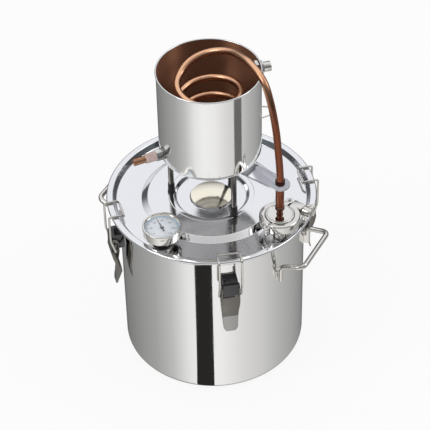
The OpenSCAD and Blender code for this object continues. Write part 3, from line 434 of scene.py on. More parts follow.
@dataclass
class Nodes:
    """Node tree of a material or of the world while it is drawn up."""

    tree: bpy.types.NodeTree
    shader: bpy.types.Node | None = None

    @classmethod
    def of(cls, owner: bpy.types.Material | bpy.types.World) -> "Nodes":
        """Empties the node tree of a new material or world.

        Args:
            owner: The material or the world.

        Returns:
            Its nodes, none so far.
        """
        owner.use_nodes = True
        owner.node_tree.nodes.clear()
        return cls(owner.node_tree)

    def feed(self, node: bpy.types.Node, key: str | int, value: object) -> None:
        """Sets one input of a node, or links it where the value is a socket.

        Args:
            node: The node.
            key: Name or number of the input.
            value: Its value or the socket that feeds it.
        """
        if isinstance(value, Socket):
            self.tree.links.new(value, node.inputs[key])
        else:
            node.inputs[key].default_value = value

    def add(self, kind: str, inputs: dict[str | int, object] | None = None,
            **settings: object) -> bpy.types.Node:
        """Adds one node.

        Args:
            kind: Blender's name of the node, without the words that all shader nodes share.
            inputs: Value or linked socket of each input.
            settings: Properties of the node.

        Returns:
            The node.
        """
        node = self.tree.nodes.new(f"ShaderNode{kind}")
        for key, value in settings.items():
            setattr(node, key, value)
        for key, value in (inputs or {}).items():
            self.feed(node, key, value)
        return node

    def give(self, key: str, value: object) -> None:
        """Sets or links an input of the shader."""
        self.feed(self.shader, key, value)

    def place(self) -> Socket:
        """Place on the piece, in its own frame."""
        return self.add("TexCoord").outputs["Object"]

    def calc(self, operation: str, a: object, b: object) -> Socket:
        """Result of a calculation with two values."""
        return self.add("Math", {0: a, 1: b}, operation=operation).outputs[0]

    def length(self, vector: Socket) -> Socket:
        """Length of a vector."""
        return self.add("VectorMath", {0: vector}, operation="LENGTH").outputs["Value"]

    def ranged(self, value: Socket, span: Pair = (0.0, 1.0), to: Pair = (0.0, 1.0),
               **settings: object) -> Socket:
        """Maps a value from one span onto another, and holds it at the ends."""
        return self.add("MapRange", {"Value": value, "From Min": span[0], "From Max": span[1],
                                     "To Min": to[0], "To Max": to[1]}, **settings).outputs[0]

    def mixed(self, share: object, first: object, second: object) -> Socket:
        """Colour between two colours, by the share of the second."""
        return self.add("Mix", {0: share, 6: first, 7: second}, data_type="RGBA").outputs[2]

    def ramp(self, share: Socket, stops: list[tuple[float, str]]) -> Socket:
        """Colour from a ramp.

        Args:
            share: Place on the ramp.
            stops: Place and hex colour of each stop.

        Returns:
            The colour.
        """
        node = self.add("ValToRGB", {0: share})
        for i, (place, colour) in enumerate(stops):
            ramp = node.color_ramp.elements
            stop = ramp[i] if i < len(ramp) else ramp.new(place)
            stop.position, stop.color = place, linear(colour)
        return node.outputs[0]

    def blotches(self, size: float, detail: float = 4.0) -> Socket:
        """Noise of patches of a size in millimetres."""
        return self.add("TexNoise", {"Vector": self.place(), "Scale": 1000 / size, "Detail": detail,
                                     "Roughness": 0.6}).outputs[0]

    def bump(self, height: Socket, strength: float, depth: float) -> None:
        """Gives the shader a bump whose depth is in millimetres."""
        bump = self.add("Bump", {"Height": height, "Strength": strength, "Distance": depth * MM})
        self.give("Normal", bump.outputs[0])

    def glow(self, colour: tuple[float, float, float, float]) -> Socket:
        """Light of one colour that no lamp changes."""
        return self.add("Emission", {"Color": colour, "Strength": 1.0}).outputs[0]


class Slot(Enum):
    """Material slots of the record."""

    POLISHED = "polished_steel"
    SATIN = "satin_steel"
    PLATED = "plated_steel"
    COPPER = "copper"
    DARK_COPPER = "dark_copper"
    RUBBER = "black_rubber"
    WHITE_SILICONE = "white_silicone"
    PINK_SILICONE = "pink_silicone"
    DIAL = "dial_white"
    NEEDLE = "needle_black"
    GLASS = "clear_glass"
    BIMETAL = "bimetal"


class Grain(Enum):
    """Way in which the finest marks of a surface run."""

    ROUND = "round its axis"
    UP = "up and down"
    EVEN = "every way"


@dataclass(frozen=True)
class Finish:
    """A finish with a base colour and fine marks; each kind adds what its surface shows."""

    name: str
    slot: Slot
    colour: str
    roughness: float
    metallic: float = 1.0
    grain: Grain = Grain.EVEN
    grain_mm: float = 1.5

    def material(self) -> bpy.types.Material:
        """Makes the finish once.

        Returns:
            The finish as a material.
        """
        found = bpy.data.materials.get(self.name)
        if found:
            return found
        material = bpy.data.materials.new(self.name)
        nodes = Nodes.of(material)
        nodes.shader = nodes.add("BsdfPrincipled", {
            "Base Color": linear(self.colour), "Metallic": self.metallic, "Roughness": self.roughness})
        self.detail(nodes)
        nodes.add("OutputMaterial", {"Surface": self.surface(nodes)})
        return material

    def marks(self, nodes: Nodes) -> Socket:
        """Draws the finest marks, which are stretched along the grain.

        Args:
            nodes: Nodes of the material.

        Returns:
            Their noise.
        """
        place, fine = nodes.place(), 1000 / self.grain_mm
        scale = (fine, fine, fine / 40 if self.grain is Grain.UP else fine)
        if self.grain is Grain.ROUND:
            parts = nodes.add("SeparateXYZ", {0: place}).outputs
            out = nodes.length(nodes.add("CombineXYZ", {0: parts[0], 1: parts[1]}).outputs[0])
            slow = nodes.calc("MULTIPLY", nodes.calc("ARCTAN2", parts[1], parts[0]), 0.004)
            place = nodes.add("CombineXYZ", {0: out, 1: parts[2], 2: slow}).outputs[0]
        mapped = nodes.add("Mapping", {"Vector": place, "Scale": scale}).outputs[0]
        return nodes.add("TexNoise", {
            "Vector": mapped, "Scale": 1.0, "Detail": 3.0, "Roughness": 0.55}).outputs[0]

    def detail(self, nodes: Nodes) -> None:
        """Adds what the surface shows; each kind has its own.

        Args:
            nodes: Nodes of the material.
        """
        raise NotImplementedError

    def surface(self, nodes: Nodes) -> Socket:
        """The shader that leaves the material."""
        return nodes.shader.outputs[0]


@dataclass(frozen=True)
class Steel(Finish):
    """Polished stainless sheet: fine marks blur its reflection, and hands dull it in patches."""

    smudge: float = 0.05
    depth: float = 0.012

    def detail(self, nodes: Nodes) -> None:
        """Draws the polishing marks in roughness and bump, and faint patches of handling.

        Args:
            nodes: Nodes of the material.
        """
        marks = self.marks(nodes)
        dull = nodes.ranged(nodes.blotches(38.0), (0.42, 0.72), (0.0, self.smudge))
        rough = nodes.ranged(marks, to=(self.roughness * 0.65, self.roughness * 1.35))
        nodes.give("Roughness", nodes.calc("ADD", rough, dull))
        nodes.bump(marks, 0.25, self.depth)


@dataclass(frozen=True)
class BrushedSteel(Steel):
    """Sheet brushed round its axis: the light that it throws back spreads up and down."""

    spread: float = 1.0
    quarter_turn: float = 0.25

    def detail(self, nodes: Nodes) -> None:
        """Adds the spread of the light across the brush marks.

        Args:
            nodes: Nodes of the material.
        """
        super().detail(nodes)
        nodes.give("Anisotropic", self.spread)
        nodes.give("Anisotropic Rotation", self.quarter_turn)
        nodes.give("Tangent", nodes.add("Tangent", direction_type="RADIAL", axis="Z").outputs[0])


@dataclass(frozen=True)
class Copper(Finish):
    """Drawn soft copper tube: bright where it was wiped, browner where air and hands have tarnished it."""

    tarnish: str = "#8A4A2C"
    tarnish_low: float = 0.45
    tarnish_high: float = 0.75
    dulled: float = 0.12

    def detail(self, nodes: Nodes) -> None:
        """Draws patches of tarnish, small dark specks and fine drawing marks.

        Args:
            nodes: Nodes of the material.
        """
        share = nodes.ranged(nodes.blotches(16.0), (self.tarnish_low, self.tarnish_high))
        fleck = nodes.ranged(nodes.blotches(2.2, 2.0), (0.6, 0.78), (0.0, 0.3))
        nodes.give("Base Color", nodes.mixed(nodes.calc("MAXIMUM", share, fleck), linear(self.colour),
                                             linear(self.tarnish)))
        nodes.give("Roughness", nodes.ranged(share, to=(self.roughness, self.roughness + self.dulled)))
        nodes.bump(self.marks(nodes), 0.2, 0.01)


@dataclass(frozen=True)
class BrazedCopper(Copper):
    """Soft copper tube that is browner near one end, fading with the distance from it."""

    brown: str = "#7E4A36"
    end: Pair = (88.36, -71.55)
    near: float = 6.0
    far: float = 52.0

    def detail(self, nodes: Nodes) -> None:
        """Adds the brown that fades with the distance from the end.

        Args:
            nodes: Nodes of the material.
        """
        super().detail(nodes)
        bare = nodes.shader.inputs["Base Color"].links[0].from_socket
        shifted = nodes.add("VectorMath", {
            0: nodes.place(), 1: (-self.end[0] * MM, -self.end[1] * MM, 0)}, operation="ADD").outputs[0]
        flat = nodes.add("VectorMath", {0: shifted, 1: (1, 1, 0)}, operation="MULTIPLY").outputs[0]
        share = nodes.ranged(nodes.length(flat), (self.near * MM, self.far * MM), (1.0, 0.0),
                             interpolation_type="SMOOTHSTEP")
        nodes.give("Base Color", nodes.mixed(share, bare, linear(self.brown)))


@dataclass(frozen=True)
class Rubber(Finish):
    """Moulded rubber or silicone: a soft sheen over a fine grain, paler where dust holds to it."""

    dust: str = "#3A3835"
    bump: float = 0.05

    def detail(self, nodes: Nodes) -> None:
        """Draws a fine grain in bump, and dust in patches.

        Args:
            nodes: Nodes of the material.
        """
        share = nodes.ranged(nodes.blotches(9.0), (0.4, 0.8), (0.0, 0.7))
        nodes.give("Base Color", nodes.mixed(share, linear(self.colour), linear(self.dust)))
        nodes.bump(self.marks(nodes), 0.4, self.bump)


@dataclass(frozen=True)
class Silicone(Rubber):
    """Extruded silicone hose: milky, with light passing through its wall."""

    depth_mm: float = 2.0

    def detail(self, nodes: Nodes) -> None:
        """Adds light scattered inside to the moulded grain.

        Args:
            nodes: Nodes of the material.
        """
        super().detail(nodes)
        nodes.give("Subsurface Weight", 0.6)
        nodes.give("Subsurface Radius", (1.0, 0.6, 0.5))
        nodes.give("Subsurface Scale", self.depth_mm * MM)


@dataclass(frozen=True)
class Glass(Finish):
    """Pressed clear glass with a faint ripple; light reaches what lies behind it."""

    bend: float = 1.46

    def detail(self, nodes: Nodes) -> None:
        """Makes the body clear, with a long shallow ripple.

        Args:
            nodes: Nodes of the material.
        """
        nodes.give("Transmission Weight", 1.0)
        nodes.give("IOR", self.bend)
        nodes.bump(nodes.blotches(14.0, 1.0), 0.08, 0.05)

    def surface(self, nodes: Nodes) -> Socket:
        """Lets the light through to the dial without bending it.

        Args:
            nodes: Nodes of the material.

        Returns:
            The shader that leaves the material.
        """
        path = nodes.add("LightPath").outputs
        unseen = nodes.calc("MAXIMUM", path["Is Shadow Ray"], path["Is Diffuse Ray"])
        clear = nodes.add("BsdfTransparent").outputs[0]
        return nodes.add("MixShader", {0: unseen, 1: nodes.shader.outputs[0], 2: clear}).outputs[0]


@dataclass(frozen=True)
class Enamel(Finish):
    """Stove enamel or print on sheet: even colour with a slight orange peel."""

    shade: str = "#DDE6EE"

    def detail(self, nodes: Nodes) -> None:
        """Draws a faint cloud in the colour and a fine orange peel.

        Args:
            nodes: Nodes of the material.
        """
        share = nodes.ranged(nodes.blotches(11.0), (0.35, 0.75))
        nodes.give("Base Color", nodes.mixed(share, linear(self.colour), linear(self.shade)))
        nodes.bump(self.marks(nodes), 0.15, 0.02)


# Polished sheet of the pot, the bucket's outside and its underside: mirrors the room, softly streaked; the
# underside's darker, duller grey is painted shade under the bucket
STEEL = "#EDEDEC"
POT_STEEL = Steel("spun_pot_steel", Slot.POLISHED, STEEL, 0.05, grain=Grain.ROUND, grain_mm=2.4)
BUCKET_STEEL = Steel("spun_bucket_steel", Slot.POLISHED, STEEL, 0.05, grain=Grain.ROUND, grain_mm=2.2)
UNDERSIDE_SHADE_STEEL = Steel("shaded_bucket_base", Slot.POLISHED, "#BEBDBB", 0.12, grain_mm=2.0)
# The bucket's brushed inside: its warm brown base colour is a painted reflection of the copper coil; the
# brushing draws its light out up and down
INSIDE_COPPER_REFLECTION_STEEL = BrushedSteel("brushed_inside_painted_reflection", Slot.POLISHED, "#A9775D", 0.56, grain=Grain.ROUND,
                            grain_mm=1.4)
# The legs: darker and duller than the pot, the dark grey being painted shade and a painted dark reflection
# under the bucket, with marks along the tube
LEG_SHADE_STEEL = Steel("shaded_leg_steel", Slot.POLISHED, "#6C6A68", 0.16, grain=Grain.UP, grain_mm=1.6)
# The lid: bright and a little cool; the cream of its embossed disc is a painted reflection of the bucket's
# underside
LID_STEEL = Steel("pressed_lid_steel", Slot.POLISHED, "#EBEBED", 0.09, grain=Grain.ROUND, grain_mm=2.0,
                  smudge=0.03)
DISC_REFLECTION_STEEL = Steel("disc_painted_reflection_steel", Slot.POLISHED, "#F7F0DE", 0.10, grain=Grain.ROUND, grain_mm=1.6)
# The latches: near black brackets and grey levers, which are painted shade, and a paler tongue, which is a
# painted highlight
SHADED_BRACKET_STEEL = Steel("shaded_bracket_steel", Slot.PLATED, "#4E4E50", 0.14, grain_mm=1.6)
SHADED_LEVER_STEEL = Steel("shaded_lever_steel", Slot.PLATED, "#716E69", 0.16, grain=Grain.UP, grain_mm=1.6)
LIT_TONGUE_STEEL = Steel("lit_tongue_steel", Slot.PLATED, "#A3A2A0", 0.16, grain=Grain.UP, grain_mm=1.6)
# Handles and wires: a slightly warm shine, drawn out along the rod
ROD_STEEL = Steel("polished_rod_steel", Slot.SATIN, "#DEDBD6", 0.18, grain_mm=2.2)
# Turned fittings: crisp highlights on their edges
FITTING_STEEL = Steel("turned_fitting_steel", Slot.PLATED, "#DAD8D4", 0.14, grain_mm=1.8)
# The cast clamp and its nut: an uneven skin under the polish
CLAMP_STEEL = Steel("cast_clamp_steel", Slot.SATIN, "#DEDCD8", 0.15, grain_mm=2.6, depth=0.03)
# Thermometer case and vapour cap: smooth drawn sheet
CASE_STEEL = Steel("drawn_case_steel", Slot.POLISHED, "#E2E0DB", 0.08, grain_mm=2.0)
# Pins, washer and solder: matt grey
PIN_STEEL = Steel("plated_pin_steel", Slot.PLATED, "#9A9894", 0.28, grain_mm=1.5)
# The strap under the bucket: cool grey, soft shine
STRAP_STEEL = Steel("rolled_strap_steel", Slot.SATIN, "#B6B6BD", 0.20, grain=Grain.UP, grain_mm=2.0)
# The coil: orange copper with paler and darker patches, browner towards its end at the riser
COIL_COPPER = BrazedCopper("drawn_copper", Slot.COPPER, "#F0BC98", 0.27, grain_mm=1.2, tarnish="#D69A74",
                           tarnish_low=0.5, tarnish_high=0.85)
# The spout: dull pinkish brown
SPOUT_COPPER = Copper("dull_copper", Slot.COPPER, "#BC8F73", 0.36, grain_mm=1.2, tarnish="#9A6C50",
                      tarnish_low=0.45, tarnish_high=0.8)
# The riser and its brazed collars: red-brown, partly tarnish and partly painted shade below the strap, then
# nearly black where the flame was
RISER_SHADE_COPPER = Copper("tarnish_and_shade_copper", Slot.DARK_COPPER, "#85503C", 0.36, grain_mm=1.2, tarnish="#70402E",
                      tarnish_low=0.4, tarnish_high=0.8)
COLLAR_COPPER = Copper("brazed_copper", Slot.DARK_COPPER, "#6E4232", 0.38, grain_mm=1.0, tarnish="#47281D",
                       tarnish_low=0.35, tarnish_high=0.65)
RING_COPPER = Copper("blackened_copper", Slot.DARK_COPPER, "#3C221A", 0.42, grain_mm=1.0, tarnish="#22130F")
# Feet and washers: soft black with a trace of dust
BLACK_RUBBER = Rubber("moulded_black_rubber", Slot.RUBBER, "#17171A", 0.52, 0.0, grain_mm=1.2)
# The lid's gasket: off-white, even
WHITE_SILICONE = Rubber("moulded_white_silicone", Slot.WHITE_SILICONE, "#EDEAE4", 0.45, 0.0, grain_mm=1.2,
                        dust="#D9D4CA")
# The hose at the outlet: milky pink, light comes through it
PINK_SILICONE = Silicone("extruded_pink_silicone", Slot.PINK_SILICONE, "#CFBBB6", 0.36, 0.0, grain_mm=1.2,
                         dust="#BFA8A2")
# The lens: a clear dome with one bright glint
LENS_GLASS = Glass("pressed_lens_glass", Slot.GLASS, "#FFFFFF", 0.02, 0.0)
# The dial: cool white enamel, dark grey print, a pale blue band and a black needle
DIAL_ENAMEL = Enamel("dial_enamel", Slot.DIAL, "#EEF3F8", 0.35, 0.0, grain_mm=1.0)
DIAL_PRINT = Enamel("dial_print", Slot.NEEDLE, "#33363B", 0.45, 0.0, grain_mm=1.0, shade="#45494F")
DIAL_BAND = Enamel("dial_band_print", Slot.DIAL, "#A9C3DA", 0.4, 0.0, grain_mm=1.0, shade="#B8CEE0")
NEEDLE_BLACK = Enamel("needle_lacquer", Slot.NEEDLE, "#1D1E20", 0.35, 0.0, grain_mm=1.0, shade="#2A2B2E")
# The bimetal coil, hidden in the probe: brassy
BIMETAL = Copper("rolled_bimetal", Slot.BIMETAL, "#C9A16A", 0.3, grain_mm=1.0, tarnish="#9A7442")


# Sub-assemblies

@dataclass
class Assembly:
    """A sub-assembly: it builds its pieces, dresses them and hands them to their bodies.

    The measures here are those at which one sub-assembly meets another.
    """

    body: str = "still"
    panel_z: float = 245.4
    ledge_z: float = 251.4
    rim_z: float = 254.0
    port_out: float = 113.7
    port_az: float = 51.0
    cap_z: float = 275.0
    base_z: float = 326.5
    bucket_r: float = 67.4
    bucket_top: float = 457.5
    outlet_az: float = 295.0
    outlet_z: float = 346.0

    def keep(self, piece: bpy.types.Object, finish: Finish, *nodes: str, body: str = "") -> bpy.types.Object:
        """Dresses a finished piece, hands it to its body and hides the CAD nodes that it stands for.

        Args:
            piece: The piece.
            finish: Its finish.
            nodes: CAD nodes that it replaces.
            body: Body that it rides on, the assembly's own if empty.

        Returns:
            The piece.
        """
        piece.data.materials.clear()
        piece.data.materials.append(finish.material())
        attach(piece, body or self.body)
        if nodes:
            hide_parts(*nodes)
        LOG.info("%s in %s", piece.name, finish.name)
        return piece

    def part(self, piece: bpy.types.Object, finish: Finish, r: float, low: float, high: float,
             facing: int = 0) -> None:
        """Gives the faces of one region another finish of the same slot.

        Args:
            piece: Piece that turns round the still's axis.
            finish: Finish of the region.
            r: Largest distance of its faces from the axis.
            low: Lowest height of its faces.
            high: Greatest height of its faces.
            facing: 1 for faces that look up or to the axis, -1 for the others, 0 for all.
        """
        piece.data.materials.append(finish.material())
        for face in piece.data.polygons:
            inward = face.normal.z - face.normal.xy.dot(face.center.xy.normalized())
            within = face.center.xy.length < r * MM and low * MM < face.center.z < high * MM
            if within and facing * inward >= 0:
                face.material_index = len(piece.data.materials) - 1

    def unmirrored(self, *pieces: bpy.types.Object) -> None:
        """Keeps pieces out of the mirror image in the polished steel beside them."""
        for piece in pieces:
            piece.visible_glossy = False

    def ease(self, node: str, name: str, finish: Finish, width: float, body: str = "",
             angle: float = 35.0) -> bpy.types.Object:
        """Stands in for a CAD node with a copy whose edges are eased.

        Args:
            node: Name of the CAD node.
            name: Name of the copy.
            finish: Its finish.
            width: Width of the eased edges.
            body: Body that it rides on, the assembly's own if empty.
            angle: Least angle of an edge that is eased, in degrees.

        Returns:
            The copy.
        """
        piece = softened(from_cad(node, name), width, angle=angle)
        settled(piece, name, Matrix.Identity(4), angle)
        return self.keep(piece, finish, node, body=body)

    def dress(self, finish: Finish, *nodes: str) -> None:
        """Gives CAD nodes whose shape is right their finish.

        Args:
            finish: The finish.
            nodes: Names of the CAD nodes.
        """
        for node in nodes:
            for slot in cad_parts[node].material_slots:
                slot.material = finish.material()
            LOG.info("%s keeps its shape in %s", node, finish.name)


@dataclass
class Boiler(Assembly):
    """Deep-drawn pot with its rolled mouth, the gasket on it and two bent handles."""

    r: float = 125.0
    h: float = 242.0
    t: float = 1.2
    fillet: float = 10.0
    flange_w: float = 5.0
    bead_d: float = 3.6
    handle_az: float = 61.5
    handle_d: float = 7.0
    handle_bend: float = 9.0
    span: float = 84.6
    grip_w: float = 77.4
    grip_out: float = 155.3
    shoulder_z: float = 203.0
    grip_rise: float = 8.0
    foot_len: float = 24.0
    pad_t: float = 2.4
    pad_h: float = 14.0
    raised_r: float = 96.0
    raised_z: float = 0.8
    raised_run: float = 3.0

    def build(self) -> None:
        """Builds the pot, its gasket and both handles."""
        inner, flange, bead = self.r - self.t, self.r + self.flange_w, self.bead_d / 2
        foot, above, slip = self.raised_r + self.raised_run, self.t + self.raised_z, 0.5
        outline = [(0, self.raised_z), (self.raised_r, self.raised_z), (foot, 0), (self.r, 0),
                   (self.r, self.h - self.bead_d), (flange, self.h - self.bead_d), (flange, self.h),
                   (inner, self.h), (inner, self.t), (foot + slip, self.t), (self.raised_r + slip, above),
                   (0, above)]
        radii = [0, 1.5, 1.5, self.fillet, 0.3, bead * 0.95, bead * 0.95, self.t / 2, self.fillet - self.t,
                 1.5, 1.5, 0]
        self.keep(spun("pot_shell", rounded(outline, radii, 8), steps=256), POT_STEEL, "boiler_pot")
        self.dress(WHITE_SILICONE, "lid_gasket")
        for side, az in (("right", self.handle_az), ("left", self.handle_az + 180)):
            self.handle(side, az)

    def handle(self, side: str, az: float) -> None:
        """Builds one handle: the bent rod, its two pads and the weld beads round them.

        Args:
            side: Word in the names of its pieces.
            az: Azimuth of its middle.
        """
        reach = self.r + self.handle_d / 2 + self.pad_t
        half = self.span / 2
        out = math.sqrt(reach ** 2 - half ** 2)
        low, high = self.shoulder_z - self.foot_len, self.shoulder_z + self.grip_rise
        left = [(-half, -out, low), (-half, -out, self.shoulder_z), (-self.grip_w / 2, -self.grip_out, high)]
        path = bent(left + [(-x, y, z) for x, y, z in reversed(left)],
                    [0, *[self.handle_bend] * 4, 0], 10)
        rod = tube(f"handle_rod_{side}", path, self.handle_d / 2, at((0, 0, 0), az), 24, ease=1.2)
        self.keep(rod, ROD_STEEL, f"handle_{side}")
        turn = math.degrees(math.atan2(half, out))
        for end, sign in (("a", -1), ("b", 1)):
            self.pad(f"handle_pad_{side}_{end}", at((0, 0, 0), az + sign * turn), reach, low)

    def pad(self, name: str, where: Matrix, reach: float, low: float) -> None:
        """Builds a welding pad and the bead along its foot.

        Args:
            name: Name of the pad.
            where: Frame whose -Y passes through the rod's foot.
            reach: Distance of the rod's foot from the axis.
            low: Height of the pad's lower end.
        """
        w, z0, z1 = self.handle_d / 2, low, low + self.pad_h
        back = math.sqrt(self.r ** 2 - w ** 2) - 0.3
        pad = plate(name, [(-w, -reach), (w, -reach), (w, -back), (-w, -back)], z1 - z0,
                    where @ Matrix.Translation((0, 0, z0)), 0.8)
        self.keep(pad, ROD_STEEL)
        wall = self.r + 0.1
        path = bent([(-w - 0.3, -wall, z0 - 0.3), (w + 0.3, -wall, z0 - 0.3), (w + 0.3, -wall, z1 + 0.3),
                     (-w - 0.3, -wall, z1 + 0.3), (-w - 0.3, -wall, z0 + 0.6)], [0, 1.2, 1.2, 1.2, 0], 3)
        bead = tube(f"{name}_weld", path, 0.9, where, 10, ease=0.3)
        self.keep(bead, ROD_STEEL)


@dataclass
class Lid(Assembly):
    """One pressed steel sheet: hemmed rim, panel, polished step, lip and dish with its domed disc."""

    r: float = 141.2
    t: float = 1.2
    step_z: float = 251.0
    dish_z: float = 245.7
    disc_z: float = 248.3
    rim_w: float = 8.6
    hem_d: float = 4.4
    step_r: float = 94.3
    step_run: float = 8.6
    dish_r: float = 50.6
    dish_run: float = 3.6
    ledge_w: float = 6.4
    disc_r: float = 27.7
    crown: float = 3.0

    def build(self) -> None:
        """Builds the lid from its bent section."""
        rim_in = self.r - self.rim_w
        foot = rim_in - (self.rim_z - self.panel_z) * 0.53
        ledge_r = self.dish_r + self.ledge_w
        line = [(self.disc_r, self.disc_z), (self.disc_r + 1.6, self.dish_z),
                (self.dish_r - self.dish_run, self.dish_z), (self.dish_r, self.ledge_z),
                (ledge_r, self.ledge_z), (ledge_r + 0.6, self.step_z),
                (self.step_r - self.step_run, self.step_z), (self.step_r, self.panel_z), (foot, self.panel_z),
                (rim_in, self.rim_z), (self.r - self.hem_d, self.rim_z)]
        bends = [0, 0.5, 2, 2, 1.3, 0.3, 2, 2, 2, 2, 0]
        hem_r = self.hem_d / 2
        hem_in, hem_z = self.r - self.hem_d, self.rim_z - self.hem_d
        hem = rounded([(hem_in, self.rim_z), (self.r, self.rim_z), (self.r, hem_z), (hem_in, hem_z),
                       (hem_in, self.rim_z - self.t)], [0, hem_r, 0.9 * hem_r, 0.9 * hem_r, 0], 8)
        dome_r = (self.disc_r ** 2 + self.crown ** 2) / 2 / self.crown
        top = self.disc_z + self.crown
        spread = [math.asin(self.disc_r / dome_r) * k / 12 for k in range(12)]
        dome = [(dome_r * math.sin(a), top - dome_r * (1 - math.cos(a))) for a in spread]
        under = [((dome_r - self.t) * math.sin(a), top - dome_r + (dome_r - self.t) * math.cos(a))
                 for a in reversed(spread)]
        lower = other_face(line, bends, -self.t, 8)[::-1]
        outline = dome + rounded(line, bends, 8) + hem[1:-1] + lower + under
        sheet = self.keep(spun("lid_pressing", outline, steps=256), LID_STEEL, "lid")
        # The disc's cream is a painted reflection of the bucket's underside
        self.part(sheet, DISC_REFLECTION_STEEL, self.disc_r, self.disc_z + 0.05, self.disc_z + self.crown + 1)


@dataclass
class Latch(Assembly):
    """Draw latch: welded bracket, lever with a rolled lip and wire bail."""

    n: int = 1
    az: float = 9.0
    pivot_r: float = 139.0
    pivot_z: float = 201.5
    crank: float = 10.0
    over_centre: float = 4.0
    lever_w: float = 24.4
    wire_d: float = 3.0
    bail_w: float = 29.6
    arm_r: float = 144.3
    hook_r: float = 123.6
    tongue_low: float = 90.0
    tongue_high: float = 146.0

    def build(self) -> None:
        """Builds the bracket, the lever and the bail of one latch."""
        n = self.n
        # The bracket's near black and the lever's grey are painted shade; the tongue's paler grey is a
        # painted highlight
        self.unmirrored(self.ease(f"latch_bracket_{n}", f"bracket_pressing_{n}", SHADED_BRACKET_STEEL, 0.35))
        lever = self.ease(f"latch_lever_{n}", f"lever_pressing_{n}", SHADED_LEVER_STEEL, 0.3, body=f"lever_{n}")
        self.part(lever, LIT_TONGUE_STEEL, 200.0, self.tongue_low, self.tongue_high)
        a = math.radians(self.over_centre)
        r, z = self.pivot_r - self.crank * math.sin(a), self.pivot_z - self.crank * math.cos(a)
        half, top = self.bail_w / 2, self.rim_z + 0.3 + self.wire_d / 2
        side = [(self.lever_w / 2 - 1.7, -r, z), (half, -r, z), (half, -self.arm_r, z + 22),
                (half, -self.arm_r, top), (half, -self.hook_r - 4, top), (half, -self.hook_r, top - 4)]
        bends = [0, 2.1, 14, 3.5, 3, 3.5]
        path = bent([(-x, y, h) for x, y, h in side] + side[::-1], bends + bends[::-1], 8)
        wire = tube(f"bail_wire_{n}", path, self.wire_d / 2, at((0, 0, 0), self.az), 16, ease=0.4)
        self.keep(wire, ROD_STEEL, f"latch_bail_{n}", body=f"bail_{n}")


